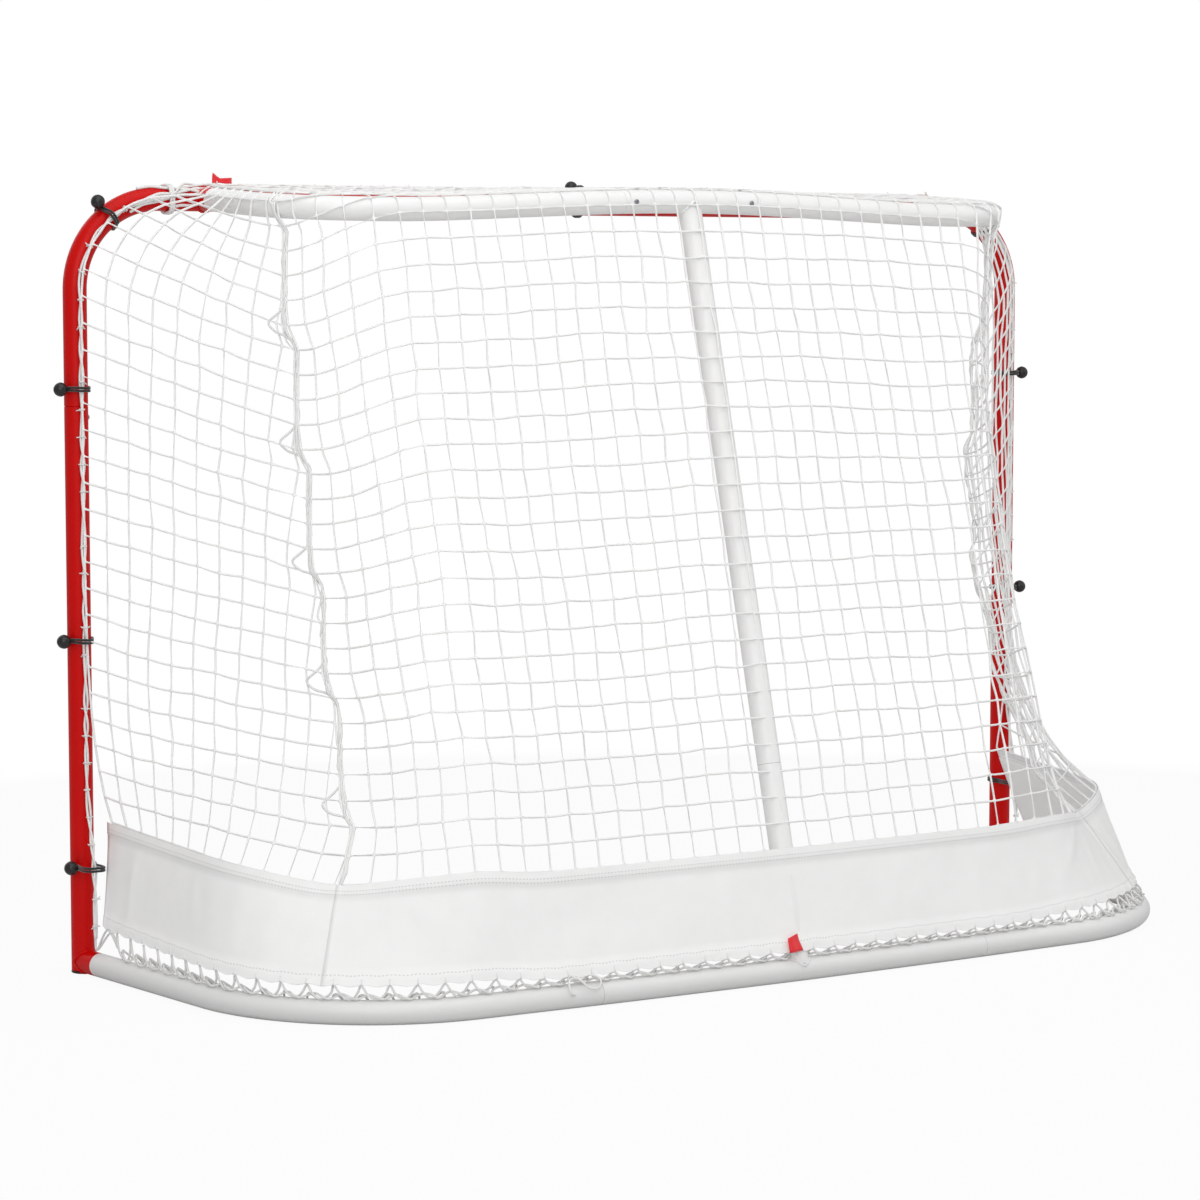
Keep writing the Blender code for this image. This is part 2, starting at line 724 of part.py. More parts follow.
def hang(low, high, rise, corner):
    """A point of the net between the skirt and the shelf; near a corner it falls straighter, then flares."""
    flare = (1 - rise) ** (1 + NET_CORNER_SAG * corner)
    across = high + (low - high) * flare
    return Vector((across.x, across.y, low.z + (high.z - low.z) * rise))


def net_wrap(s, angle):
    """A point round the shelf tube: 0 is its outer side and a right angle is its top."""
    tangent = SHELF.tangent(s)
    turn = SHELF.tangent(s - NET_PITCH / 2).angle(SHELF.tangent(s + NET_PITCH / 2))
    radius = NET_WRAP_R + NET_PITCH * turn / 8
    outward = tangent.cross(UP).normalized()
    if outward.dot(Vector((SHELF.at(s).x, SHELF.at(s).y, 0))) < 0:
        outward = -outward
    above = outward.cross(tangent)
    if above.z < 0:
        above = -above
    return SHELF.at(s) + radius * (math.cos(angle) * outward + math.sin(angle) * above)


def net_front_edge():
    """The side net's edge behind a post and its corner bend, from the skirt's top to the crossbar."""
    start = skirt_top(SKIRT_START) + NET_OVER_SKIRT
    bend = CROSSBAR_Z - CORNER_RADIUS
    arc = CORNER_RADIUS * math.pi / 2
    stations = [start + (bend - start) * k / NET_POST_ROWS for k in range(NET_POST_ROWS)]
    stations += [bend + arc * k / NET_BEND_ROWS for k in range(NET_BEND_ROWS + 1)]
    return [FRONT.at(s) + REAR * NET_FRONT for s in stations]


def net_object(name, rows, origin):
    """Strands along every line of a grid, joined where they cross."""
    bm = grid_mesh(rows)
    bmesh.ops.recalc_face_normals(bm, faces=bm.faces)
    bmesh.ops.wireframe(
        bm, faces=bm.faces, thickness=STRAND_DIAMETER, offset=0, use_replace=True,
        use_boundary=True, use_even_offset=True,
    )
    return mesh_object(name, bm, net_twine(), origin)


def side_shelf_stations():
    end = NET_SHELF_SEAM - SEAM_SIDE_GAP
    pitch = (end - NET_SHELF_START) / NET_SIDE_COLUMNS
    return [NET_SHELF_START + pitch * column for column in range(NET_SIDE_COLUMNS + 1)]


def rear_shelf_stations():
    """Closer together round the corners of the shelf hoop than along its run."""
    start = NET_SHELF_SEAM + SEAM_SIDE_GAP
    pitch = (NET_SHELF_RUN - start) / NET_CORNER_COLUMNS
    corner = [start + pitch * k for k in range(NET_CORNER_COLUMNS)]
    run = SHELF.length - 2 * NET_SHELF_RUN
    middle = [NET_SHELF_RUN + run * k / NET_RUN_COLUMNS for k in range(NET_RUN_COLUMNS + 1)]
    return corner + middle + [SHELF.length - s for s in corner[::-1]]


def side_net(side, origin):
    """Rows of a side panel: from the skirt up to the shelf, then over the shelf tube."""
    shelf = side_shelf_stations()
    shares = [column / NET_SIDE_COLUMNS for column in range(NET_SIDE_COLUMNS + 1)]
    places = side_net_places()
    low = [net_bottom(s) for s in places]
    high = [net_wrap(s, NET_WRAP_ANGLES[0]) for s in shelf]
    corners = [corner_share(s) for s in places]
    rows = []
    for row, edge in enumerate(net_front_edge()):
        line = [hang(a, b, row / NET_ROWS, corner) for a, b, corner in zip(low, high, corners)]
        pull = edge - line[0]
        rows.append([point + pull * (1 - share) for point, share in zip(line, shares)])
    rows += [[net_wrap(s, angle) for s in shelf] for angle in NET_WRAP_ANGLES]
    if side < 0:
        rows = [mirrored(line) for line in rows]
    net_object("net_side_" + side_name(side), rows, origin)


def rear_net(origin):
    """Rows of the rear panel: from the skirt up to the shelf, then over the shelf tube."""
    places = rear_net_places()
    low = [net_bottom(s) for s in places]
    high = [net_wrap(s, NET_WRAP_ANGLES[0]) for s in rear_shelf_stations()]
    corners = [corner_share(s) for s in places]
    rows = []
    for row in range(NET_ROWS):
        rows.append([hang(a, b, row / NET_ROWS, corner) for a, b, corner in zip(low, high, corners)])
    rows += [[net_wrap(s, angle) for s in rear_shelf_stations()] for angle in NET_WRAP_ANGLES]
    net_object("net_rear", rows, origin)


def top_net(origin):
    """Rows over the shelf: from behind the crossbar back to the top of the shelf hoop."""
    above = math.pi / 2
    angle = ROPE_TOP_ANGLE
    front_y, front_z = NET_FRONT * math.cos(angle), CROSSBAR_Z + NET_FRONT * math.sin(angle)
    rear = [net_wrap(s, above) for s in rear_shelf_stations()]
    columns = len(rear) - 1
    front = [Vector((SHELF_X * (1 - 2 * k / columns), front_y, front_z)) for k in range(columns + 1)]
    rows = [front]
    legs = side_shelf_stations()[1:-1]
    for number, s in enumerate(legs, start=1):
        back = number / (len(legs) + 1)
        line = [a.lerp(b, back) for a, b in zip(front, rear)]
        line[0] = net_wrap(s, above)
        line[-1] = net_wrap(SHELF.length - s, above)
        rows.append(line)
    net_object("net_top", rows + [rear], origin)


def seam_cords(origin):
    """The cord in the seam between the side net and the rear net."""
    for side in (1, -1):
        low = net_bottom(SKIRT_SEAM)
        high = [net_wrap(NET_SHELF_SEAM, angle) for angle in NET_WRAP_ANGLES]
        points = [hang(low, high[0], row / NET_ROWS, 1) for row in range(NET_ROWS)] + high
        if side < 0:
            points = mirrored(points)
        cord_object("net_seam_cord_" + side_name(side), points, CORD_RADIUS, 1, white_cord(), origin)


def rope_angle(x):
    """How far the edge rope lies above the rear of the tube, by its place along the crossbar."""
    from_stub = abs(abs(x) - SHELF_X)
    straight_end = POST_X - CORNER_RADIUS
    if abs(x) > SHELF_X:
        share = min(1, max(0, (straight_end - abs(x)) / (straight_end - SHELF_X - TUBE_R)))
        return ROPE_STUB_ANGLE * (1 - math.cos(math.pi * share)) / 2
    share = min(1, max(0, (from_stub - TUBE_R) / TUBE_DIAMETER))
    return ROPE_STUB_ANGLE + (ROPE_TOP_ANGLE - ROPE_STUB_ANGLE) * (1 - math.cos(math.pi * share)) / 2


def outward_at(front, s):
    """The direction away from the mouth, square to the front frame."""
    tangent = front.tangent(s)
    out = tangent.cross(REAR)
    centre = Vector((0, 0, CROSSBAR_Z / 2))
    return out if out.dot(front.at(s) - centre) > 0 else -out


def edge_rope(origin):
    """The rope in the net's front edge, up one post, along the crossbar and down the other."""
    straight = POST_X - CORNER_RADIUS
    stations = [ROPE_BOTTOM] + BUNGEE_HEIGHTS
    stations += [mark for mark in FRONT.marks[1:-2] if mark < FRONT.length / 2 - TUBE_R]
    bar_places = [straight * (1 - k / 8) + (SHELF_X + TUBE_R) * k / 8 for k in range(1, 9)]
    bar_places += [SHELF_X, SHELF_X - TUBE_R, SHELF_X - TUBE_DIAMETER]
    bar_places += [SHELF_X - 1.5 * TUBE_DIAMETER, SHELF_X - 2 * TUBE_DIAMETER, SHELF_X / 2]
    stations += [FRONT.length / 2 - x for x in bar_places]
    half = []
    for s in stations:
        point = FRONT.at(s)
        angle = rope_angle(point.x) if point.x < straight else 0
        away = REAR * math.cos(angle) + outward_at(FRONT, s) * math.sin(angle)
        half.append(point + away * ROPE_DISTANCE)
    cord_object("net_edge_rope", half + mirrored(half[::-1]), ROPE_RADIUS, 1, white_cord(), origin)


def ball_bungee(name, front, s, rope, ball, origin):
    """A ball with an elastic loop, doubled round the tube and the rope; angles run from the rear."""
    centre, tangent = front.at(s), front.tangent(s)
    out = outward_at(front, s)

    def around(angle, distance, shift=0.0):
        return centre + (REAR * math.cos(angle) + out * math.sin(angle)) * distance + tangent * shift

    def ring_radius(angle):
        apart = abs((angle - rope + math.pi) % (2 * math.pi) - math.pi) - ELASTIC_SPREAD
        return ELASTIC_RING_R + (ELASTIC_REACH - ELASTIC_RING_R) * math.exp(-((apart / ELASTIC_EASE) ** 2))

    neck_side = BALL_NECK_RADIUS + ELASTIC_RADIUS + TOUCH_GAP
    first = ball + math.asin(neck_side / ELASTIC_RING_R)
    last = ball + 2 * math.pi - math.asin((neck_side + ELASTIC_PAIR) / ELASTIC_RING_R)
    before = rope + 2 * math.pi - ELASTIC_SPREAD
    angles = [first + (before - first) * k / ELASTIC_STEPS for k in range(ELASTIC_STEPS + 1)]
    angles += [before + 2 * ELASTIC_SPREAD, last]
    go = [around(angle, ring_radius(angle), ELASTIC_PAIR) for angle in angles]
    back = [around(angle, ring_radius(angle), -ELASTIC_PAIR) for angle in angles[::-1]]
    turn_angle = last + ELASTIC_PAIR / ELASTIC_RING_R / 2
    hook = [around(turn_angle, ring_radius(last), 0)]
    route = Route(go + hook + back)
    elastic = sweep_points(route, ELASTIC_RADIUS, ELASTIC_SIDES, centre)
    mesh_object(name + "_elastic", elastic, black_elastic(), origin)

    axis = REAR * math.cos(ball) + out * math.sin(ball)
    sphere = [math.radians(a) for a in (-68, -35, 0, 35, 65)]
    profile = [(TUBE_R + TOUCH_GAP, BALL_NECK_RADIUS)]
    profile += [(BALL_DISTANCE + BALL_RADIUS * math.sin(a), BALL_RADIUS * math.cos(a)) for a in sphere]
    rings = [(centre + axis * d, axis, tangent, radius) for d, radius in profile]
    mesh_object(name + "_ball", loft(rings, 8), black_plastic(), origin)


def sweep_points(route, radius, sides, centre):
    """A tube along a route of its own points, its rings turned to face a centre."""
    rings = []
    points = route.points
    for index, point in enumerate(points):
        before = points[max(0, index - 1)]
        after = points[min(len(points) - 1, index + 1)]
        rings.append((point, (after - before).normalized(), point - centre, radius))
    return loft(rings, sides)


def bungees(origin):
    """Three on each post, one on each corner bend and one at the middle of the crossbar."""
    corner = CROSSBAR_Z - CORNER_RADIUS + CORNER_RADIUS * BUNGEE_CORNER_ANGLE
    for side in (1, -1):
        word = side_name(side)
        front = side_route(FRONT, side)
        for height, place in zip(BUNGEE_HEIGHTS, ("low", "middle", "high")):
            ball_bungee("bungee_%s_%s" % (word, place), front, height, 0, BALL_ANGLE, origin)
        ball_bungee("bungee_%s_corner" % word, front, corner, 0, BALL_ANGLE, origin)
    ball_bungee(
        "bungee_crossbar", FRONT, FRONT.length / 2, ROPE_TOP_ANGLE, CROSSBAR_BALL_ANGLE, origin,
    )


def extruded(outline, across, up, thickness, corner):
    """A flat outline of (across, up) places, given a thickness square to both."""
    bm = bmesh.new()
    verts = [bm.verts.new(corner + across * a + up * b) for a, b in outline]
    face = bm.faces.new(verts)
    grown = bmesh.ops.extrude_face_region(bm, geom=[face])
    moved = [item for item in grown["geom"] if isinstance(item, bmesh.types.BMVert)]
    bmesh.ops.translate(bm, verts=moved, vec=across.cross(up).normalized() * thickness)
    return bm


def ribbon_tags(origin):
    """A bow on the net's rope at one stub, and a flag on the skirt's hem behind the upright."""
    long, tall, waist = BOW_LENGTH / 2, BOW_HEIGHT / 2, BOW_WAIST / 2
    bow_outline = [(-long, -tall), (0, -waist), (long, -tall), (long, tall), (0, waist), (-long, tall)]
    top = CROSSBAR_Z + math.sin(ROPE_STUB_ANGLE) * ROPE_DISTANCE + ROPE_RADIUS
    corner = Vector((BOW_X, 0, top + tall + TOUCH_GAP))
    bm = extruded(bow_outline, Vector((1, 0, 0)), UP, RIBBON_THICKNESS, corner)
    mesh_object("ribbon_tag_top", bm, red_ribbon(), origin, smooth=False)
    wide, high = FLAG_WIDTH / 2, FLAG_HEIGHT
    flag = [(-wide, 0), (wide, 0), (wide * 0.8, high * 0.8), (0, high), (-wide, high * 0.9)]
    middle = BASE.length / 2
    up = Vector((0, -skirt_lean(middle), skirt_top(middle) - SKIRT_BOTTOM)).normalized()
    out = SKIRT_BOTTOM_OFFSET + SKIRT_THICKNESS / 2 + 2 * TOUCH_GAP
    corner = Vector((0, BASE_DEPTH + out, SKIRT_BOTTOM))
    bm = extruded(flag, Vector((-1, 0, 0)), up, RIBBON_THICKNESS, corner)
    mesh_object("ribbon_tag_base", bm, red_ribbon(), origin, smooth=False)


def main():
    clear_scene()
    origin = bpy.data.objects.new("goal_origin", None)
    bpy.context.scene.collection.objects.link(origin)
    origin.location = (0, POST_Y, 0)
    front = front_frame(origin)
    hoops(front, origin)
    lacing_rails(origin)
    lacing_cord(origin)
    skirt(origin)
    side_net(1, origin)
    side_net(-1, origin)
    rear_net(origin)
    top_net(origin)
    seam_cords(origin)
    edge_rope(origin)
    bungees(origin)
    ribbon_tags(origin)


main()
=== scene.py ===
"""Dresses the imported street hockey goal: smooth welded tube, a hung net, a sewn skirt, cords and bungees.

Metres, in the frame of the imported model. The mouth faces -Y and the origin is on the ground.
"""

import bisect
import math

import bmesh
import bpy
import numpy as np
from mathutils import Matrix, Vector, noise


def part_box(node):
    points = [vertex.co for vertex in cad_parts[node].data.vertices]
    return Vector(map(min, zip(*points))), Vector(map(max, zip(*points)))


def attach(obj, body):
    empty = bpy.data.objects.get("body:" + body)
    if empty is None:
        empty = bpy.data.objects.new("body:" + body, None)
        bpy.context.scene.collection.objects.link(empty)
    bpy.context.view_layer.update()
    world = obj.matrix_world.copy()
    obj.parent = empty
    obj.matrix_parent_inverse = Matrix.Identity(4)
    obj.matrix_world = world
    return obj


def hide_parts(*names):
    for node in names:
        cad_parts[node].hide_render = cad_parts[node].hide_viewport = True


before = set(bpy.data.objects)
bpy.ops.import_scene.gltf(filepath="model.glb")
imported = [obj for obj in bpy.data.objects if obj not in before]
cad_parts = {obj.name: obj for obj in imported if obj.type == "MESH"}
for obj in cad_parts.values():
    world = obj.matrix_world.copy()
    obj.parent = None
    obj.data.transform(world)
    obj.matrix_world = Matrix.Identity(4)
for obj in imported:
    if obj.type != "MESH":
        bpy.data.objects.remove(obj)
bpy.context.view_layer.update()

bl_info = {
    "name": "Street hockey goal",
    "version": (1, 0, 0),
    "blender": (4, 5, 0),
    "location": "View3D > Sidebar > Goal",
    "description": "Builds the dressed pieces of a street hockey goal round its packed frame",
    "category": "Object",
}

UP = Vector((0, 0, 1))
REAR = Vector((0, 1, 0))
ACROSS = Vector((1, 0, 0))
SIDES = ((1, "left"), (-1, "right"))


def linear(code):
    """A six-digit sRGB hex colour as linear red, green and blue."""
    parts = [int(code[k : k + 2], 16) / 255 for k in (0, 2, 4)]
    return tuple(c / 12.92 if c <= 0.04045 else ((c + 0.055) / 1.055) ** 2.4 for c in parts)


def middle_of(node):
    low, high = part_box(node)
    return (low + high) / 2


# The frame's own measures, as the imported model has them
FOOT = middle_of("foot_cap_left")
POST_X = FOOT.x
POST_Y = FOOT.y
POST_FOOT = 0.0043
TUBE_R = 0.019
TUBE_WALL = 0.0015
OPENING_HEIGHT = 1.219
CROSSBAR_Z = OPENING_HEIGHT + TUBE_R
CORNER_RADIUS = 0.145
POST_SEAM_HEIGHT = 0.91
CROSSBAR_SEAM_X = 0.64
SEAM_GAP = 0.0004
SPIGOT_REACH = 0.02
SPIGOT_PLAY = 0.0002
STUB_ROOT = TUBE_R * 0.4
BASE_DEPTH = 0.669
BASE_TOE_IN = math.radians(6.4)
BASE_CORNER_RADIUS = 0.33
BASE_BOW_RADIUS = 10.0
BASE_TEE_HALF = 0.37
BASE_STUB_LENGTH = 0.05
SHELF_X = 0.71
SHELF_DEPTH = 0.348
SHELF_CORNER_RADIUS = 0.15
SHELF_BOW_RADIUS = 5.0
SHELF_TEE_HALF = 0.13
SHELF_STUB_LENGTH = 0.045
SHELF_CORNER_DROP = 0.018
SHELF_CENTRE_DROP = 0.002
SHELF_DROP_SHIFT = 0.8
UPRIGHT_SEAM_HEIGHT = 0.337
# Pairs of a height above the ground and a radius, up the outside of a foot cap and over its plug
FOOT_PROFILE = [
    (0.0, 0.0170), (0.0007, 0.0188), (0.0020, 0.0195), (0.0034, 0.0193), (0.0040, 0.0186),
    (0.0041, 0.0168), (0.0255, 0.0160), (0.0260, 0.0155), (0.0258, 0.0146), (0.0045, 0.0150),
]
# A screw's head: its recess, then pairs of a height above the tube and a radius from its crown down
SCREW_INSET = 0.018
RECESS_ARM = 0.0024
RECESS_WAIST = 0.0009
RECESS_FLOOR = 0.0012
RECESS_RIM = 0.0026
HEAD_PROFILE = [(0.0024, 0.0034), (0.0014, 0.0042), (0.0001, 0.0043), (-0.002, 0.002)]
RAIL_RADIUS = 0.003
RAIL_STAND_OFF = 0.0045
RAIL_ANGLE = math.radians(165)
RAIL_END_CLEARANCE = 0.05

# The skirt: its own size, how its lacing pulls it up at the posts and corners, and in at the right corner
SKIRT_BOTTOM = 0.057
SKIRT_HEIGHT = 0.1627
SKIRT_BOTTOM_OFFSET = 0.0115
SKIRT_LEAN = 0.041
SKIRT_CORNER_LEAN = 0.049
SKIRT_CORNER_REACH = 0.27
SKIRT_START = 0.040
SKIRT_SEAM = 0.598
SKIRT_SINK = 0.006
POST_LIFT = 0.026
POST_LIFT_REACH = 0.51
LEFT_LIFT = 0.010
RIGHT_LIFT = 0.004
CORNER_LIFT_END = 0.97
CORNER_LIFT_FADE = 0.14
TUCK = 0.031
TUCK_PLACE = 0.66
TUCK_REACH = 0.36
LOW_TUCK_SHARE = 0.75
HEM = 0.018
HEM_PROUD = 0.0009
# Folds in the skirt: where each ends at the top and the bottom, its span of the height, and its depth
CREASES = [
    (2.075, 1.925, 0.42, 0.96, 0.0042), (1.80, 1.77, 0.30, 0.80, 0.0020), (1.93, 1.90, 0.10, 0.62, 0.0018),
    (1.55, 1.52, 0.35, 0.90, 0.0014), (1.28, 1.31, 0.15, 0.70, 0.0012), (0.95, 0.99, 0.30, 0.85, 0.0014),
    (0.72, 0.80, 0.35, 0.95, 0.0024), (0.58, 0.55, 0.20, 0.80, 0.0016), (0.30, 0.35, 0.25, 0.90, 0.0020),
    (0.135, 0.145, 0.05, 0.85, 0.0034), (2.22, 2.28, 0.20, 0.90, 0.0026), (2.50, 2.46, 0.15, 0.85, 0.0022),
]
CREASE_WIDTH = 0.010

# The net: where its panels meet, and how it hangs, slips down and gathers at its seams
NET_SHELF_SEAM = 0.255
NET_SHELF_START = 0.034
PANEL_GAP = 0.003
NET_FLARE = 0.44
NET_PULL = 0.068
NET_SLIP = 1.7
NET_FRONT = 0.028
SEAM_STEP = 0.0185
SEAM_STEP_BACK = 0.003
SEAM_STEP_ROWS = 4.78
SEAM_FIRST_STEP = 2.7
SEAM_DRIFT_SHARE = 0.84
RIGHT_SLACK = Vector((0.060, -0.020, 0))
WRAP_START = math.radians(20)
WRAP_ROWS = 0.65

# The rope, the bungees and the lacing's knot
ROPE_DISTANCE = 0.0226
ROPE_BOTTOM = 0.062
ROPE_SLACK = 0.027
ROPE_TOP_ANGLE = math.radians(60)
ROPE_STUB_ANGLE = math.radians(87)
GATHER_X = 0.772
BUNGEE_HEIGHTS = {"low": 0.174, "middle": 0.537, "high": 0.937}
BUNGEE_CORNER_ANGLE = math.radians(52)
BALL_ANGLE = math.radians(68)
LOW_BALL_DROP = math.radians(14)
CROSSBAR_BALL_ANGLE = math.radians(124)
BALL_DISTANCE = 0.0345
BALL_RADIUS = 0.0112
ELASTIC_RADIUS = 0.0020
RIBBON_THICKNESS = 0.0006
LACING_RADIUS = 0.0018
KNOT_PLACE = 0.984
# One turn of the lacing's two front runs: its share of the pitch, its share of the way from the tube up to
# the hem, and its distance out from the cloth's line
FIRST_TURN = [
    (0, 0.94, 0.0085), (0.20, 0.40, 0.0095), (0.44, 0, 0.0060), (0.66, 0.02, 0.0030), (0.86, 0.45, 0.0035),
]
SECOND_TURN = [(0.04, 0.16, 0.0020), (0.26, 0.30, 0.0040), (0.52, 0.22, 0.0090), (0.78, 0, 0.0085)]
# The knot's loose loop and its tail over the tube: the same three, with the first along the hem in metres
KNOT_LOOP = [
    (0, 0.75, 0.011), (0.016, 1.05, 0.012), (0.036, 0.95, 0.013), (0.050, 0.25, 0.017),
    (0.044, -0.75, 0.0208), (0.028, -0.70, 0.0208), (0.020, 0.1, 0.018), (0.010, 0.8, 0.013), (0, 0.7, 0.012),
]
KNOT_TAIL = [
    (0.002, 0.8, 0.012), (-0.004, 0.5, 0.016), (-0.006, -0.3, 0.0195), (-0.004, -0.9, 0.0212),
    (0.002, -1.3, 0.0212),
]

# The ribbons' outlines, across and up
BOW = [
    (0.0183, -0.0072), (0.0166, 0.0100), (0.0030, 0.0009), (-0.0183, 0.0020), (-0.0173, -0.0092),
    (0.0047, -0.0066),
]
FLAG = [(0, 0), (0.0269, 0.0022), (0.0211, 0.0300), (0.0017, 0.0238)]

# The camera that the photograph fits: its focal length in the photograph's own pixels, place and turn
PHOTO_WIDTH = 1200
FOCAL_PIXELS = 3564
SENSOR = 36
CAMERA_PLACE = (3.229, 5.238 + POST_Y, 1.112)
CAMERA_TURN = (math.radians(84.84), 0, math.radians(147.98))
# How much of the floor near the goal the camera sees as plain white, so that the shadow stays faint
FLOOR_WHITE = 0.93
WORLD_LIGHT = 0.48
# Each lamp's width, power and place
LAMPS = {
    "overhead": (4.0, 68, (0.6, 1.2, 4.2)),
    "camera_side": (3.0, 72, (3.2, 4.4, 2.6)),
    "far_side": (3.0, 22, (-3.6, 2.0, 2.4)),
    "front_side": (3.0, 22, (1.0, -4.0, 2.6)),
}

LENGTH = {"subtype": "DISTANCE", "unit": "LENGTH"}
COLOUR = {"size": 3, "min": 0, "max": 1, "subtype": "COLOR"}


class GoalSizes(bpy.types.PropertyGroup):
    tube_sides: bpy.props.IntProperty(
        name="Tube sides", description="Flats round each steel tube", default=40, min=12, max=96
    )
    bend_step: bpy.props.FloatProperty(
        name="Bend step", description="Distance between rings round a bend",
        default=0.010, min=0.002, max=0.05, **LENGTH,
    )
    strand: bpy.props.FloatProperty(
        name="Strand", description="Thickness of the net's twine",
        default=0.0052, min=0.001, max=0.008, **LENGTH,
    )
    rear_columns: bpy.props.IntProperty(
        name="Rear columns", description="Net cells across the rear panel", default=36, min=8, max=60
    )
    side_columns: bpy.props.FloatProperty(
        name="Side columns", description="Net cells across a side panel at the skirt",
        default=12.2, min=4, max=24,
    )
    rows: bpy.props.IntProperty(
        name="Rows", description="Net cells from the skirt up to the shelf", default=27, min=8, max=50
    )
    top_rows: bpy.props.IntProperty(
        name="Top rows", description="Net cells from the shelf to the crossbar", default=8, min=2, max=16
    )
    slack: bpy.props.FloatProperty(
        name="Slack", description="How far the net wanders from its even shape",
        default=0.005, min=0.0, max=0.02, **LENGTH,
    )
    tie_pitch: bpy.props.FloatProperty(
        name="Tie pitch", description="Distance between the ties of the lacing",
        default=0.041, min=0.02, max=0.1, **LENGTH,
    )
    cloth_thickness: bpy.props.FloatProperty(
        name="Cloth thickness", description="Thickness of the skirt's cloth",
        default=0.0012, min=0.0005, max=0.003, **LENGTH,
    )


class GoalColours(bpy.types.PropertyGroup):
    red_paint: bpy.props.FloatVectorProperty(
        name="Red paint", description="Powder coat of the posts and bar", default=linear("CC0402"), **COLOUR
    )
    white_paint: bpy.props.FloatVectorProperty(
        name="White paint", description="Powder coat of the hoops", default=linear("F3F3F2"), **COLOUR
    )
    zinc: bpy.props.FloatVectorProperty(
        name="Zinc", description="Plating of the screws", default=linear("A9ABAE"), **COLOUR
    )
    plastic: bpy.props.FloatVectorProperty(
        name="Plastic", description="Moulded balls and foot caps", default=linear("1B1B1B"), **COLOUR
    )
    elastic: bpy.props.FloatVectorProperty(
        name="Elastic", description="Woven sleeve of the bungees", default=linear("191919"), **COLOUR
    )
    twine: bpy.props.FloatVectorProperty(
        name="Twine", description="Polyester twine of the net", default=linear("FBFBFA"), **COLOUR
    )
    cord: bpy.props.FloatVectorProperty(
        name="Cord", description="Braided cord of rope and lacing", default=linear("F7F7F5"), **COLOUR
    )
    cloth: bpy.props.FloatVectorProperty(
        name="Cloth", description="Coated cloth of the skirt", default=linear("FAFAF9"), **COLOUR
    )
    ribbon: bpy.props.FloatVectorProperty(
        name="Ribbon", description="Ribbon tags", default=linear("EC0A1C"), **COLOUR
    )
    floor: bpy.props.FloatVectorProperty(
        name="Floor", description="Studio floor", default=linear("DADADA"), **COLOUR
    )


def sizes():
    return bpy.context.scene.goal_sizes


def colours():
    return bpy.context.scene.goal_colours


# Routes: the centre lines that every tube, cord and cloth follows


def clamped(share):
    return min(1.0, max(0.0, share))


def eased(share):
    """A share held between 0 and 1, with a soft start and end."""
    share = clamped(share)
    return share * share * (3 - 2 * share)


def swell(distance, reach):
    """1 at a place, and falling softly to 0 at a reach from it."""
    return math.cos(math.pi / 2 * min(1, distance / reach)) ** 2


def flipped(point):
    return Vector((-point.x, point.y, point.z))


def mirrored(points):
    return [flipped(point) for point in points]


class Route:
    """A line through points, measured by its length from the first one."""

    def __init__(self, points):
        self.points = [Vector(point) for point in points]
        self.marks = [0.0]
        for a, b in zip(self.points, self.points[1:]):
            self.marks.append(self.marks[-1] + (b - a).length)
        self.length = self.marks[-1]

    def at(self, s):
        index = min(max(bisect.bisect_right(self.marks, s), 1), len(self.points) - 1)
        a, b = self.points[index - 1], self.points[index]
        start, end = self.marks[index - 1], self.marks[index]
        return a.lerp(b, (s - start) / (end - start))

    def tangent(self, s, reach=0.006):
        return (self.at(s + reach) - self.at(s - reach)).normalized()

    def stations(self, start, end, step):
        """Places from start to end: a step apart where the route bends, and far apart elsewhere."""
        count = max(1, math.ceil((end - start) / step))
        places = [start + (end - start) * k / count for k in range(count + 1)]
        kept = [places[0]]
        for before, here, after in zip(places, places[1:], places[2:]):
            bend = (self.at(here) - self.at(before)).angle(self.at(after) - self.at(here))
            if bend > math.radians(0.15) or here - kept[-1] > 0.25:
                kept.append(here)
        return kept + [places[-1]]

    def nearest(self, point):
        """The length along the route at which it passes nearest to a point."""
        places = [self.length * k / 400 for k in range(401)]
        return min(places, key=lambda s: (self.at(s) - point).length)


def whole(half):
    return Route(half + mirrored(half[-2::-1]))


def side_route(route, side):
    return route if side > 0 else Route(mirrored(route.points))


def fillet(before, corner, after, radius, steps):
    """Points of the arc that rounds a corner, from its first tangent point to its last."""
    into = (before - corner).normalized()
    out = (after - corner).normalized()
    half_angle = into.angle(out) / 2
    centre = corner + (into + out).normalized() * (radius / math.sin(half_angle))
    first = corner + into * (radius / math.tan(half_angle)) - centre
    axis = into.cross(out).normalized()
    turn = -(math.pi - 2 * half_angle)
    return [centre + Matrix.Rotation(turn * k / steps, 3, axis) @ first for k in range(steps + 1)]


def bow(half, depth, radius, steps):
    """The shallow bow at the back of a hoop, from its joint to the middle, and its slope there."""
    slope = math.asin(half / radius)
    angles = [slope * (1 - k / steps) for k in range(steps + 1)]
    centre = Vector((0, POST_Y + depth - radius, 0))
    return [centre + radius * Vector((math.sin(a), math.cos(a), 0)) for a in angles], slope


def front_half():
    foot = Vector((POST_X, POST_Y, 0))
    corner = Vector((POST_X, POST_Y, CROSSBAR_Z))
    middle = Vector((0, POST_Y, CROSSBAR_Z))
    return [foot] + fillet(foot, corner, middle, CORNER_RADIUS, 48) + [middle]


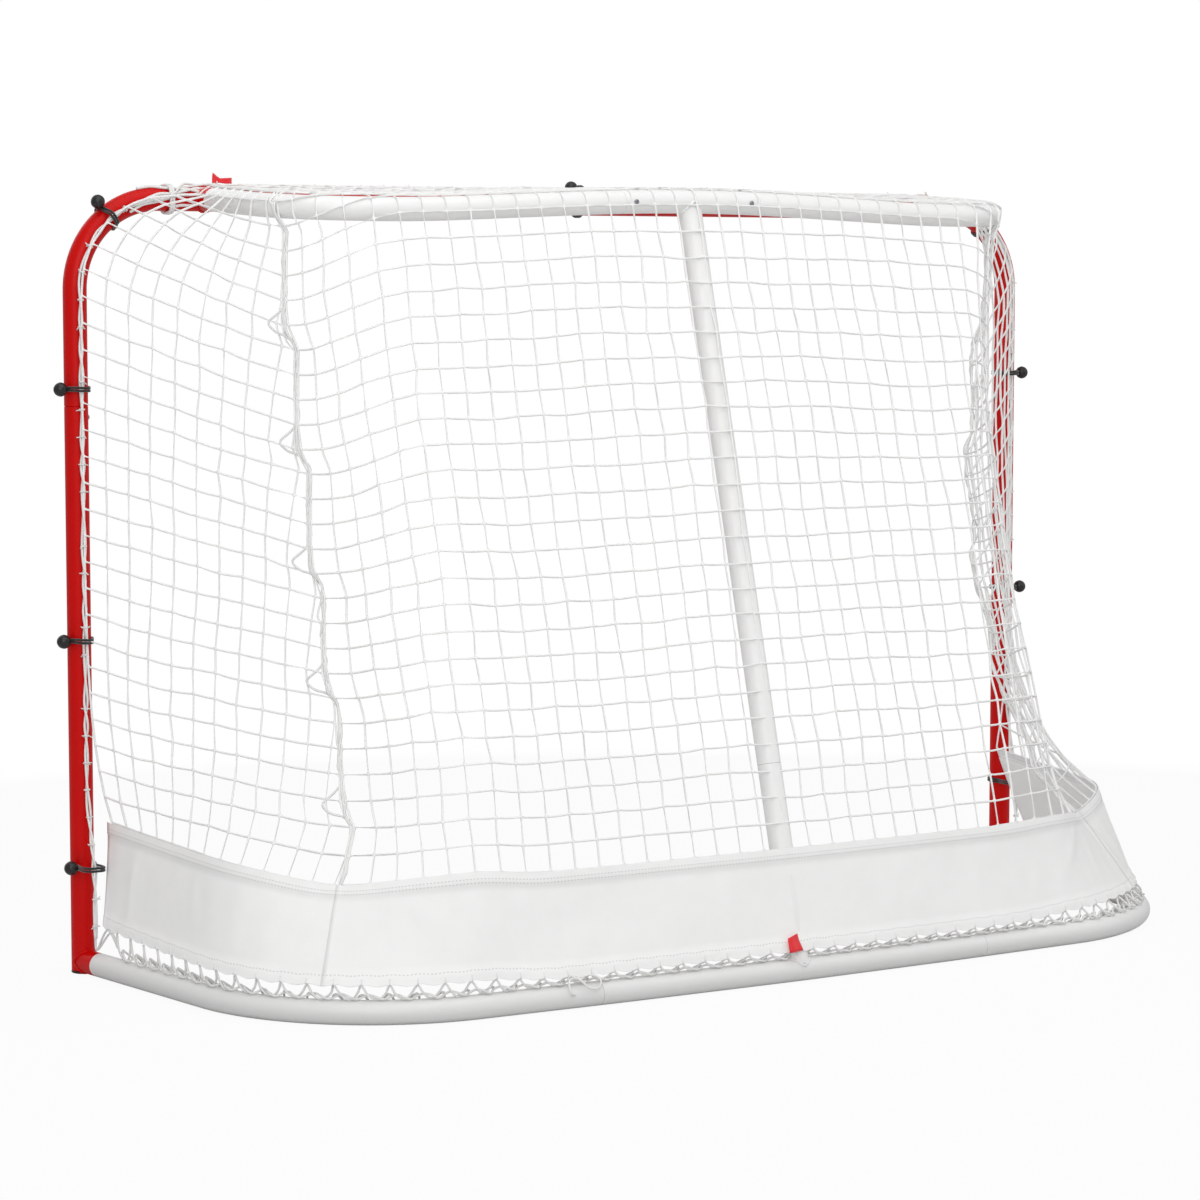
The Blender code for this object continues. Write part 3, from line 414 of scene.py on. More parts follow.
def base_half():
    start = Vector((POST_X, POST_Y, 0))
    rear, slope = bow(BASE_TEE_HALF, BASE_DEPTH, BASE_BOW_RADIUS, 12)
    joint = rear[0]
    leg = Vector((-math.sin(BASE_TOE_IN), math.cos(BASE_TOE_IN), 0))
    back = Vector((math.cos(slope), -math.sin(slope), 0))
    away = start - joint
    reach = (away.x * leg.y - away.y * leg.x) / (back.x * leg.y - back.y * leg.x)
    arc = fillet(start, joint + back * reach, joint, BASE_CORNER_RADIUS, 60)
    return [point + UP * TUBE_R for point in [start] + arc + rear]


def shelf_half():
    start = Vector((SHELF_X, POST_Y, 0))
    rear, slope = bow(SHELF_TEE_HALF, SHELF_DEPTH, SHELF_BOW_RADIUS, 8)
    joint = rear[0]
    corner = joint + Vector((1, -math.tan(slope), 0)) * (SHELF_X - joint.x)
    arc = fillet(start, corner, joint, SHELF_CORNER_RADIUS, 40)
    leg = [start.lerp(arc[0], k / 12) for k in range(12)]
    run = [arc[-1].lerp(joint, k / 30) for k in range(1, 30)]
    plan = Route(leg + arc + run + rear)
    points = []
    for point, mark in zip(plan.points, plan.marks):
        share = mark / plan.length
        drop = SHELF_CORNER_DROP * math.sin(math.pi * share**SHELF_DROP_SHIFT) ** 2
        points.append(Vector((point.x, point.y, CROSSBAR_Z - drop - SHELF_CENTRE_DROP * share)))
    return points


FRONT = whole(front_half())
BASE = whole(base_half())
SHELF = whole(shelf_half())
UPRIGHT = Route([BASE.at(BASE.length / 2), SHELF.at(SHELF.length / 2)])
BAR_SEAM = FRONT.length / 2 - CROSSBAR_SEAM_X
BASE_SEAM = BASE.length / 2 - math.asin(BASE_TEE_HALF / BASE_BOW_RADIUS) * BASE_BOW_RADIUS
SHELF_SEAM = SHELF.length / 2 - math.asin(SHELF_TEE_HALF / SHELF_BOW_RADIUS) * SHELF_BOW_RADIUS
UPRIGHT_SEAM = (UPRIGHT_SEAM_HEIGHT - TUBE_R) / UPRIGHT.tangent(UPRIGHT.length / 2).z


def beside_base(s, offset, height):
    """A point beside the base hoop: offset outwards in plan from its centre line, at a height."""
    point = BASE.at(s) + BASE.tangent(s, 0.012).cross(UP) * offset
    return Vector((point.x, point.y, height))


def corner_share(s):
    """How near a place along the base hoop is to a rear corner: 1 at its seam, 0 well away from it."""
    return swell(min(abs(s - SKIRT_SEAM), abs(BASE.length - s - SKIRT_SEAM)), SKIRT_CORNER_REACH)


def skirt_lean(s):
    return SKIRT_LEAN + SKIRT_CORNER_LEAN * corner_share(s)


def skirt_top(s):
    return SKIRT_BOTTOM + math.sqrt(SKIRT_HEIGHT**2 - skirt_lean(s) ** 2)


def skirt_lift(s):
    """How far the skirt is pulled up by its lacing: most at the posts, a little at the left corner."""
    from_post = min(s, BASE.length - s)
    slope = POST_LIFT * max(0.0, 1 - (from_post - SKIRT_START) / POST_LIFT_REACH) ** 1.3
    corner = LEFT_LIFT if s < BASE.length / 2 else RIGHT_LIFT
    return slope + corner * eased((CORNER_LIFT_END - from_post) / CORNER_LIFT_FADE) - SKIRT_SINK


def corner_tuck(s):
    """How far the lacing draws the skirt in at the right rear corner."""
    return TUCK * swell(abs(BASE.length - s - TUCK_PLACE), TUCK_REACH) if s >= BASE.length / 2 else 0.0


def from_rear(s, angle, front):
    """A direction square to the front frame: 0 is straight back and a right angle is away from the mouth."""
    out = front.tangent(s).cross(REAR)
    centre = Vector((0, POST_Y, CROSSBAR_Z / 2))
    if out.dot(front.at(s) - centre) <= 0:
        out = -out
    return REAR * math.cos(angle) + out * math.sin(angle)


# Materials


def set_inputs(node, inputs):
    """Gives each input a value, or links it to another node's output."""
    for key, value in inputs.items():
        if isinstance(value, bpy.types.NodeSocket):
            node.id_data.links.new(value, node.inputs[key])
        else:
            node.inputs[key].default_value = value


def add_node(tree, kind, inputs=None, **settings):
    """A node with its settings and inputs."""
    made = tree.nodes.new(kind)
    for name, value in settings.items():
        setattr(made, name, value)
    set_inputs(made, inputs or {})
    return made


def surface(name, inputs):
    """A new material, its tree and its shader, with those of its inputs that aren't patterned."""
    made = bpy.data.materials.new(name)
    made.use_nodes = True
    shader = made.node_tree.nodes["Principled BSDF"]
    set_inputs(shader, inputs)
    return made, made.node_tree, shader


def shade(colour, factor):
    return (*[min(1.0, c * factor) for c in colour], 1)


def powder_coat(name, colour, roughness, gloss, low_shade):
    """Thermoset polyester powder, sprayed and baked: a closed, slightly pebbled film, softly glossy."""
    made, tree, shader = surface(name, {"Specular IOR Level": gloss})
    place = add_node(tree, "ShaderNodeTexCoord").outputs["Object"]
    # Handling scuffs and film thickness: faint patches about 60 mm across
    patches = add_node(tree, "ShaderNodeTexNoise", {"Vector": place, "Scale": 16.0, "Detail": 3.0}).outputs[0]
    tint = add_node(
        tree, "ShaderNodeMix", {0: patches, 6: shade(colour, 0.95), 7: shade(colour, 1.04)}, data_type="RGBA"
    )
    # Painted shade: the colour darkens towards the floor over the lowest 50 mm
    height = add_node(tree, "ShaderNodeSeparateXYZ", {"Vector": place})
    above_shade = add_node(
        tree, "ShaderNodeMapRange", {"Value": height.outputs["Z"], "From Min": 0.015, "From Max": 0.05}
    )
    low_shaded = add_node(
        tree, "ShaderNodeMix", {0: above_shade.outputs["Result"], 6: shade(colour, low_shade), 7: tint.outputs[2]},
        data_type="RGBA",
    )
    dull = add_node(
        tree, "ShaderNodeMapRange", {"Value": patches, "To Min": roughness - 0.05, "To Max": roughness + 0.07}
    )
    # Orange peel: real dimples are about 1 mm across, drawn 2.5 mm so that they show close up
    peel = add_node(tree, "ShaderNodeTexNoise", {"Vector": place, "Scale": 400.0, "Detail": 1.0})
    bump = add_node(
        tree, "ShaderNodeBump", {"Height": peel.outputs["Fac"], "Strength": 0.12, "Distance": 0.0006}
    )
    set_inputs(shader, {"Base Color": low_shaded.outputs[2], "Roughness": dull.outputs[0]})
    set_inputs(shader, {"Normal": bump.outputs[0]})
    return made


def red_paint():
    return powder_coat("red_polyester_powder_coat", colours().red_paint, 0.34, 0.16, 1.0)


def white_paint():
    # The hoops take painted shade near the floor, down to 0.82 of their colour
    return powder_coat("white_polyester_powder_coat", colours().white_paint, 0.38, 0.5, 0.82)


def patterned(name, inputs, pattern, colour, shades, relief=None, rim_shade=None):
    """A material that runs between two shades of its colour by a pattern: a node's kind, output and inputs.

    Relief is a bump's strength, depth and whether it goes in; the rim's shade is painted shade, darker
    towards the edges where the surface turns away.
    """
    made, tree, shader = surface(name, inputs)
    kind, output, texture, settings = pattern
    place = add_node(tree, "ShaderNodeTexCoord").outputs["Object"]
    share = add_node(tree, kind, {"Vector": place, **texture}, **settings).outputs[output]
    first, last = [shade(colour, factor) for factor in shades]
    tint = add_node(tree, "ShaderNodeMix", {0: share, 6: first, 7: last}, data_type="RGBA")
    # Painted shade: the colour darkens towards the edges, where the surface turns away from the view
    if rim_shade:
        edge = add_node(tree, "ShaderNodeLayerWeight", {"Blend": 0.5}).outputs["Facing"]
        tint = add_node(
            tree, "ShaderNodeMix", {0: edge, 6: tint.outputs[2], 7: shade(colour, rim_shade)}, data_type="RGBA"
        )
    set_inputs(shader, {"Base Color": tint.outputs[2]})
    if relief:
        strength, depth, inwards = relief
        bump = add_node(
            tree, "ShaderNodeBump", {"Height": share, "Strength": strength, "Distance": depth}, invert=inwards
        )
        set_inputs(shader, {"Normal": bump.outputs["Normal"]})
    return made


def zinc_plate():
    """Bright zinc over pressed steel: a grey metal with a soft, slightly cloudy reflection."""
    # Spangle of the plating, about 2 mm across
    cloud = ("ShaderNodeTexNoise", "Fac", {"Scale": 500.0, "Detail": 2.0}, {})
    inputs = {"Roughness": 0.34, "Metallic": 1.0}
    return patterned("zinc_plated_steel", inputs, cloud, colours().zinc, (0.82, 1.1))


def moulded_plastic():
    """Injection-moulded polypropylene, spark-eroded mould: black with a broad, waxy highlight."""
    # Grain of the mould, finer than 0.5 mm and drawn 1.1 mm so that it shows
    grain = ("ShaderNodeTexNoise", "Fac", {"Scale": 900.0, "Detail": 2.0}, {})
    return patterned(
        "moulded_polypropylene", {"Roughness": 0.36, "IOR": 1.49}, grain, colours().plastic, (0.8, 1.25),
        relief=(0.2, 0.0003, False),
    )


def fibre(name, colour, roughness, sheen, thread, depth, painted_shade):
    """Fibre seen as thread: fine lumps of the lay, with painted shade between the threads and towards its
    edges.
    """
    inputs = {"Roughness": roughness, "Sheen Weight": sheen, "Sheen Roughness": 0.5}
    lay = ("ShaderNodeTexVoronoi", "Distance", {"Scale": 1 / thread, "Randomness": 0.8}, {})
    # The lay's pattern paints shade between the threads, and a deeper painted shade falls towards the edges
    return patterned(name, inputs, lay, colour, (1.0, painted_shade), relief=(0.6, depth, True), rim_shade=painted_shade * 0.88)


def net_twine():
    # Knotless polyester twine: threads about 0.7 mm, drawn 1.3 mm so that they show
    return fibre("polyester_twine", colours().twine, 0.8, 0.4, 0.0013, 0.0003, 0.95)


def braided_cord():
    # Braided polyester cord: plaits about 1 mm long, drawn 1.5 mm
    return fibre("braided_polyester_cord", colours().cord, 0.75, 0.2, 0.0015, 0.0005, 0.86)


def elastic_sleeve():
    # Woven sleeve over latex strands: black threads about 0.8 mm, drawn 1.1 mm
    return fibre("woven_elastic_sleeve", colours().elastic, 0.7, 0.4, 0.0011, 0.0004, 0.5)


def satin_ribbon():
    """Woven acetate ribbon: a saturated red with a soft sheen across its ribs."""
    # Ribs about 0.8 mm apart, drawn 1.3 mm apart
    ribs = ("ShaderNodeTexWave", "Fac", {"Scale": 250.0, "Distortion": 0.6}, {"bands_direction": "Z"})
    return patterned(
        "woven_acetate_ribbon", {"Roughness": 0.42, "Sheen Weight": 0.3}, ribs, colours().ribbon, (0.85, 1.0),
        relief=(0.3, 0.0003, False),
    )


def skirt_cloth():
    """Woven polyester with a polyurethane coat: an even pale face, a fine weave and sewn hems."""
    made, tree, shader = surface("coated_polyester_cloth", {"Roughness": 0.62, "Sheen Weight": 0.1})
    colour = colours().cloth
    place = add_node(tree, "ShaderNodeUVMap", uv_map="cloth").outputs["UV"]
    axes = add_node(tree, "ShaderNodeSeparateXYZ", {"Vector": place}).outputs
    # Yarns are about 0.5 mm apart, drawn 1.6 mm apart so that they show; a stitch is about 3 mm, drawn 6 mm
    waves = []
    for axis, length in (("X", 0.0016), ("Y", 0.0016), ("X", 0.006)):
        turn = add_node(
            tree, "ShaderNodeMath", {0: axes[axis], 1: 2 * math.pi / length}, operation="MULTIPLY"
        )
        waves.append(add_node(tree, "ShaderNodeMath", {0: turn.outputs[0]}, operation="SINE").outputs[0])
    weave = add_node(tree, "ShaderNodeMath", {0: waves[0], 1: waves[1]}, operation="MULTIPLY").outputs[0]
    # Soft creases about 40 mm across
    crease = add_node(tree, "ShaderNodeTexNoise", {"Vector": place, "Scale": 26.0, "Detail": 4.0}).outputs[0]
    height = add_node(tree, "ShaderNodeMath", {0: crease, 1: 8.0, 2: weave}, operation="MULTIPLY_ADD")
    bump = add_node(
        tree, "ShaderNodeBump", {"Height": height.outputs[0], "Strength": 0.35, "Distance": 0.0004}
    )
    # Painted shade and light: the cloth is a little darker in the hollows of the soft creases and lighter on
    # their ridges
    tint = add_node(
        tree, "ShaderNodeMix", {0: crease, 6: shade(colour, 0.96), 7: shade(colour, 1.03)}, data_type="RGBA"
    )
    # Lockstitch rows: one along the lower hem and two along the upper, each in a band of 1.6 mm
    rows = [
        add_node(tree, "ShaderNodeMath", {0: axes["Y"], 1: level, 2: 0.0008}, operation="COMPARE").outputs[0]
        for level in (0.016, SKIRT_HEIGHT - 0.016, SKIRT_HEIGHT - 0.010)
    ]
    sewn = rows[0]
    for row in rows[1:]:
        sewn = add_node(tree, "ShaderNodeMath", {0: sewn, 1: row}, operation="ADD").outputs[0]
    dash = add_node(tree, "ShaderNodeMath", {0: waves[2], 1: -0.2}, operation="GREATER_THAN").outputs[0]
    sewn = add_node(tree, "ShaderNodeMath", {0: sewn, 1: dash}, operation="MULTIPLY").outputs[0]
    faint = add_node(tree, "ShaderNodeMath", {0: sewn, 1: 0.55}, operation="MULTIPLY").outputs[0]
    marked = add_node(
        tree, "ShaderNodeMix", {0: faint, 6: tint.outputs[2], 7: shade(colour, 0.55)}, data_type="RGBA"
    )
    set_inputs(shader, {"Base Color": marked.outputs[2], "Normal": bump.outputs["Normal"]})
    return made


# What makes the material of each slot, and the ones made so far
FINISHES = {
    "red_powder_coat": red_paint,
    "white_powder_coat": white_paint,
    "zinc_plate": zinc_plate,
    "black_plastic": moulded_plastic,
    "net_twine": net_twine,
    "white_cord": braided_cord,
    "black_elastic": elastic_sleeve,
    "skirt_cloth": skirt_cloth,
    "red_ribbon": satin_ribbon,
}
SURFACES = {}


# Shapes


def piece(name, bm, slot, node, smooth=None):
    """An object from a mesh: it rides on the frame and stands for a node, with edges sharp past an angle."""
    bmesh.ops.recalc_face_normals(bm, faces=bm.faces)
    mesh = bpy.data.meshes.new(name)
    bm.to_mesh(mesh)
    bm.free()
    mesh.shade_smooth()
    if smooth:
        mesh.set_sharp_from_angle(angle=math.radians(smooth))
    if slot not in SURFACES:
        SURFACES[slot] = FINISHES[slot]()
    mesh.materials.append(SURFACES[slot])
    obj = bpy.data.objects.new(name, mesh)
    bpy.context.scene.collection.objects.link(obj)
    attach(obj, "root")
    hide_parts(node)
    return obj


def walled(obj, thickness):
    """Gives a sheet its thickness, half to each side."""
    wall = obj.modifiers.new("wall", "SOLIDIFY")
    wall.thickness = thickness
    wall.offset = 0


def square_to(axis, hint):
    return (hint - axis * hint.dot(axis)).normalized()


def ring_place(centre, axis, first, radius=1):
    """Where a ring goes: square to its axis, with its first point in the direction first."""
    turn = Matrix((first, axis.cross(first), axis)).transposed().to_4x4()
    return Matrix.Translation(centre) @ turn @ Matrix.Diagonal((radius, radius, radius, 1))


def frame_at(route, s, hint, radius):
    """A ring square to a route, with its first point towards the hint."""
    axis = route.tangent(s)
    return ring_place(route.at(s), axis, square_to(axis, hint), radius)


def sweep(bm, frames, sides, closed=False):
    """A tube through ring places: a grid rolled up round them, with its ends capped or joined."""
    grid = bmesh.ops.create_grid(bm, x_segments=sides, y_segments=len(frames) - 1, size=1)["verts"]
    turns = [2 * math.pi * (k % sides) / sides for k in range(sides + 1)]
    round_ring = [Vector((math.cos(turn), math.sin(turn), 0)) for turn in turns]
    for number, vert in enumerate(grid):
        vert.co = frames[number // (sides + 1)] @ round_ring[number % (sides + 1)]
    bmesh.ops.remove_doubles(bm, verts=grid, dist=1e-6)
    if not closed:
        open_edges = {edge for vert in grid if vert.is_valid for edge in vert.link_edges if edge.is_boundary}
        bmesh.ops.holes_fill(bm, edges=list(open_edges), sides=sides)


def turned(centre, axis, first, profile, sides):
    """A turned form, from pairs of a reach along its axis and a radius there."""
    bm = bmesh.new()
    sweep(bm, [ring_place(centre + axis * reach, axis, first, radius) for reach, radius in profile], sides)
    return bm


def pipe(bm, route, start, end, hint, radius=TUBE_R, wall=TUBE_WALL, lip=0.0007):
    """A length of hollow tube with rounded ends: along its outside and back through its bore."""
    places = route.stations(start + lip, end - lip, sizes().bend_step)
    frames = [frame_at(route, start, hint, radius - lip)]
    frames += [frame_at(route, s, hint, radius) for s in places]
    frames += [frame_at(route, end, hint, radius - lip), frame_at(route, end, hint, radius - wall)]
    frames += [frame_at(route, s, hint, radius - wall) for s in places[::-1]]
    frames += [frame_at(route, start, hint, radius - wall), frames[0]]
    sweep(bm, frames, sizes().tube_sides, closed=True)


def spigot(bm, route, seam, hint):
    """The swaged end that shows as a dark ring in the seam of two tubes."""
    reaches = (-SPIGOT_REACH, SPIGOT_REACH)
    frames = [frame_at(route, seam + reach, hint, TUBE_R - TUBE_WALL - SPIGOT_PLAY) for reach in reaches]
    sweep(bm, frames, sizes().tube_sides)


def weld_bead(bm, route, main, bead=0.0021):
    """The bead round a tube welded square to another: it follows the saddle where the two meet."""
    start, axis = route.points[0], route.tangent(0.01)
    side = axis.cross(main.tangent(main.nearest(start))).normalized()
    along = side.cross(axis)
    count = 72
    points = []
    for k in range(count):
        turn = 2 * math.pi * k / count
        across = TUBE_R * math.sin(turn)
        depth = math.sqrt(max(0.0, TUBE_R**2 - (across * 0.985) ** 2))
        ripple = 1 + 0.03 * math.sin(turn * 24)
        out = (along * math.cos(turn) + side * math.sin(turn)) * (TUBE_R + bead * 0.25) * ripple
        point = start + axis * (depth + bead * 0.3) + out
        # The bead is ground flat where the tube stands on the floor
        point.z = max(point.z, bead + 0.0002)
        points.append(point)
    frames = []
    for k in range(count + 1):
        before, here, after = points[k % count - 1], points[k % count], points[(k + 1) % count]
        direction = (after - before).normalized()
        frames.append(ring_place(here, direction, square_to(direction, axis), bead))
    sweep(bm, frames, 8, closed=True)


def tube(name, node, slot, pipes, spigots=(), welds=()):
    """A piece of the frame: its lengths of tube, the spigots in their ends and the beads of its welds."""
    bm = bmesh.new()
    for make, runs in ((pipe, pipes), (spigot, spigots), (weld_bead, welds)):
        for run in runs:
            make(bm, *run)
    piece("tube_" + name, bm, slot, node, smooth=40)


def front_frame():
    """Red posts, corner bends and crossbar, with the welded stubs for both hoops, and the foot caps."""
    bar_end = FRONT.length - BAR_SEAM
    for side, word in SIDES:
        front, base, shelf = [side_route(route, side) for route in (FRONT, BASE, SHELF)]
        tube(
            "post_" + word, "lower_post_" + word, "red_powder_coat",
            [(front, POST_FOOT, POST_SEAM_HEIGHT - SEAM_GAP, REAR), (base, STUB_ROOT, BASE_STUB_LENGTH, UP)],
            [(base, BASE_STUB_LENGTH, UP)], [(base, front)],
        )
        tube(
            "corner_" + word, "corner_bend_" + word, "red_powder_coat",
            [(front, POST_SEAM_HEIGHT, BAR_SEAM - SEAM_GAP, REAR), (shelf, STUB_ROOT, SHELF_STUB_LENGTH, UP)],
            [(front, POST_SEAM_HEIGHT, REAR), (shelf, SHELF_STUB_LENGTH, UP)], [(shelf, front)],
        )
        cap = turned(front.at(0), UP, ACROSS, FOOT_PROFILE, 48)
        piece("moulded_foot_" + word, cap, "black_plastic", "foot_cap_" + word, smooth=40)
    tube(
        "crossbar", "crossbar", "red_powder_coat", [(FRONT, BAR_SEAM, bar_end, REAR)],
        [(FRONT, BAR_SEAM, REAR), (FRONT, bar_end, REAR)],
    )


def hoops():
    """White base hoop, shelf hoop and upright, with weld beads where the upright meets them."""
    down = Route(UPRIGHT.points[::-1])
    base_end = BASE.length - BASE_SEAM
    tube(
        "base_tee", "base_tee", "white_powder_coat",
        [(BASE, BASE_SEAM, base_end, UP), (UPRIGHT, STUB_ROOT, UPRIGHT_SEAM, REAR)],
        [(BASE, BASE_SEAM, UP), (BASE, base_end, UP), (UPRIGHT, UPRIGHT_SEAM, REAR)], [(UPRIGHT, BASE)],
    )
    tube(
        "shelf_tee", "shelf_tee", "white_powder_coat",
        [
            (SHELF, SHELF_SEAM, SHELF.length - SHELF_SEAM, UP),
            (down, STUB_ROOT, UPRIGHT.length - UPRIGHT_SEAM - SEAM_GAP, REAR),
        ],
        welds=[(down, SHELF)],
    )
    for side, word in SIDES:
        base, shelf = side_route(BASE, side), side_route(SHELF, side)
        bend, slot = "base_bend_" + word, "white_powder_coat"
        tube(bend, bend, slot, [(base, BASE_STUB_LENGTH + SEAM_GAP, BASE_SEAM - SEAM_GAP, UP)])
        bend = "shelf_bend_" + word
        run = (shelf, SHELF_STUB_LENGTH + SEAM_GAP, SHELF_SEAM - SEAM_GAP, UP)
        tube(bend, bend, slot, [run], [(shelf, SHELF_SEAM, UP)])


def screw_head(name, route, s, outward):
    """A pan head with a cross recess, its shank hidden in the tube."""
    axis = route.tangent(s)
    outward = square_to(axis, outward)
    bm = bmesh.new()
    ring = bmesh.ops.create_circle(bm, segments=24, radius=RECESS_ARM)["verts"]
    for k, vert in enumerate(ring):
        reach = RECESS_ARM if k % 6 in (0, 1, 5) else RECESS_WAIST
        vert.co = vert.co.normalized() * reach + UP * RECESS_FLOOR
    floor_edges = edges = list({edge for vert in ring for edge in vert.link_edges})
    for height, radius in [(RECESS_RIM, None)] + HEAD_PROFILE:
        grown = bmesh.ops.extrude_edge_only(bm, edges=edges)["geom"]
        verts = {item for item in grown if isinstance(item, bmesh.types.BMVert)}
        edges = [item for item in grown if isinstance(item, bmesh.types.BMEdge)]
        edges = [edge for edge in edges if verts.issuperset(edge.verts)]
        for vert in verts:
            flat = Vector((vert.co.x, vert.co.y, 0))
            vert.co = (flat.normalized() * radius if radius else flat) + UP * height
    bmesh.ops.edgeloop_fill(bm, edges=edges)
    bmesh.ops.edgeloop_fill(bm, edges=floor_edges)
    seat = ring_place(route.at(s) + outward * TUBE_R, outward, axis)
    bmesh.ops.transform(bm, matrix=seat, verts=bm.verts)
    piece("head_" + name, bm, "zinc_plate", name, smooth=30)


def screws():
    """The zinc screws that lock every slip joint."""
    screw_head("upright_screw", UPRIGHT, UPRIGHT_SEAM + SCREW_INSET, -REAR)
    for side, word in SIDES:
        inward = Vector((-side, 0, 0))
        for joint, route, s, outward in (
            ("post", FRONT, POST_SEAM_HEIGHT - SCREW_INSET, inward),
            ("crossbar", FRONT, BAR_SEAM - SCREW_INSET, -UP),
            ("base_stub", BASE, BASE_STUB_LENGTH + SCREW_INSET, inward),
            ("base_tee", BASE, BASE_SEAM - SCREW_INSET, -REAR),
            ("shelf_stub", SHELF, SHELF_STUB_LENGTH + SCREW_INSET, inward),
            ("shelf_tee", SHELF, SHELF_SEAM + SCREW_INSET, REAR),
        ):
            screw_head("%s_screw_%s" % (joint, word), side_route(route, side), s, outward)


# Net


def net_low(s):
    """A point of the net where it meets the skirt's top."""
    inward = skirt_lean(s) + corner_tuck(s) + PANEL_GAP
    return beside_base(s, SKIRT_BOTTOM_OFFSET - inward, skirt_top(s) + skirt_lift(s))


def round_shelf(s, wrapped=0.0):
    """A point round the shelf tube, from where the net reaches it at 0 to its top at 1."""
    angle = WRAP_START + (math.pi / 2 - WRAP_START) * wrapped
    tangent = SHELF.tangent(s, 0.01)
    outward = tangent.cross(UP).normalized()
    around = math.cos(angle) * outward + math.sin(angle) * outward.cross(tangent)
    return SHELF.at(s) + (TUBE_R + sizes().strand * 0.55) * around


def hang(low, high, rise, corner):
    """A point of the net between the skirt and the shelf; at a corner the rows pull it in above the skirt."""
    fall = max(0.0, 1 - rise)
    share = fall * (1 - NET_FLARE * corner) + NET_FLARE * corner * fall**8
    pull = NET_PULL * corner * (fall**1.2 - fall**14)
    point = high.lerp(low, 1 - rise)
    point.y = high.y + (low.y - high.y) * share
    point.x -= math.copysign(pull, point.x)
    return point


def right_slack(rise):
    """How far the right seam hangs in past the left one's mirror image, between the skirt and the shelf."""
    return RIGHT_SLACK * math.sin(math.pi * clamped((rise - 0.12) / 0.88))


def seam_step(row):
    """How far the gathered seam strays along the rear panel: out over some rows, then back in a jump."""
    part = (row - SEAM_FIRST_STEP) / SEAM_STEP_ROWS
    part -= math.floor(part)
    drift = part / SEAM_DRIFT_SHARE if part < SEAM_DRIFT_SHARE else (1 - part) / (1 - SEAM_DRIFT_SHARE)
    return (SEAM_STEP * drift - SEAM_STEP_BACK) * min(1, row / 2)


def settled(column, row):
    """Where a column and row lie, in even ones: the net has slipped down and gathered near its seams."""
    own = sizes()
    flat, end = own.rows - NET_SLIP, own.rows + own.top_rows
    near = min(column, own.rear_columns - column)
    slip = row * NET_SLIP / flat if row < flat else NET_SLIP * (end - row) / (end - flat)
    row += slip * math.sin(math.pi / 2 * min(1, near / 5.5)) ** 2
    rise = min(1, row / own.rows)
    shift = (1 - math.exp(-near / 1.5)) * max(0.0, 1 - near / 16) * (0.65 - 1.5 * rise)
    return column + (shift if column < own.rear_columns / 2 else -shift), row


def rear_net_point(column, row):
    """A point of the rear and top panels, by its cell column across and its cell row up from the skirt."""
    own = sizes()
    column, row = settled(column, row)
    share = column / own.rear_columns
    start, begin = SKIRT_SEAM + PANEL_GAP, NET_SHELF_SEAM + PANEL_GAP
    s_low = start + (BASE.length - 2 * start) * share
    s_high = begin + (SHELF.length - 2 * begin) * share
    if row <= own.rows:
        corner = corner_share(s_low)
        point = hang(net_low(s_low), round_shelf(s_high), row / own.rows, corner)
        point.x -= math.copysign(seam_step(row), point.x) * corner**6
        return point + right_slack(row / own.rows) * corner if point.x < 0 else point
    wrapped = (row - own.rows) / WRAP_ROWS
    if wrapped <= 1:
        return round_shelf(s_high, wrapped)
    ahead = (row - own.rows - WRAP_ROWS) / (own.top_rows - WRAP_ROWS)
    bar = Vector((SHELF_X * (1 - 2 * share), POST_Y, CROSSBAR_Z))
    front = bar + (REAR * math.cos(ROPE_TOP_ANGLE) + UP * math.sin(ROPE_TOP_ANGLE)) * NET_FRONT
    point = round_shelf(s_high, 1).lerp(front, ahead)
    on_leg = max(0.0, 1 - min(share, 1 - share) * own.rear_columns)
    leg_s = NET_SHELF_START + (NET_SHELF_SEAM - NET_SHELF_START) * (1 - ahead)
    return point.lerp(round_shelf(leg_s if share < 0.5 else SHELF.length - leg_s, 1), on_leg)


def front_edge_point(rise):
    """The side net's front edge: up behind the post, round the bend and to the shelf's leg."""
    start = skirt_top(SKIRT_START) + skirt_lift(SKIRT_START)
    arc = CORNER_RADIUS * math.pi / 2
    end = CROSSBAR_Z - CORNER_RADIUS + arc + (POST_X - CORNER_RADIUS - SHELF_X - 0.022)
    return FRONT.at(start + (end - start) * rise) + REAR * (ROPE_DISTANCE + 0.002)


def side_net_point(share, row, side=1):
    """A point of a side panel, by its share of the way from the post to the seam and its cell row."""
    own = sizes()

    def low(s):
        return net_low(s) if side > 0 else flipped(net_low(BASE.length - s))

    end, top_end = SKIRT_SEAM - PANEL_GAP, NET_SHELF_SEAM - PANEL_GAP
    s_high = NET_SHELF_START + (top_end - NET_SHELF_START) * share
    if row > own.rows:
        point = round_shelf(s_high, (row - own.rows) / WRAP_ROWS)
    else:
        rise = row / own.rows
        low_seam, high_seam = low(end), round_shelf(top_end)
        # The rows are drawn straight, and only the lowest and highest follow the skirt and the shelf
        point = front_edge_point(rise).lerp(hang(low_seam, high_seam, rise, 1), share)
        point.x -= seam_step(row) * share**6
        s_low = SKIRT_START + (end - SKIRT_START) * share
        skirt_bulge = low(s_low) - front_edge_point(0).lerp(low_seam, share)
        shelf_bulge = round_shelf(s_high) - front_edge_point(1).lerp(high_seam, share)
        point += skirt_bulge * max(0.0, 1 - rise) ** 9 + shelf_bulge * rise**6
    return point if side > 0 else flipped(point) + right_slack(row / own.rows) * share**1.2


def seam_columns(row):
    """Cells left between the post and the seam at a row: the panel is cut along a slant."""
    own = sizes()
    return own.side_columns * (1 - 0.4 * row / own.rows)


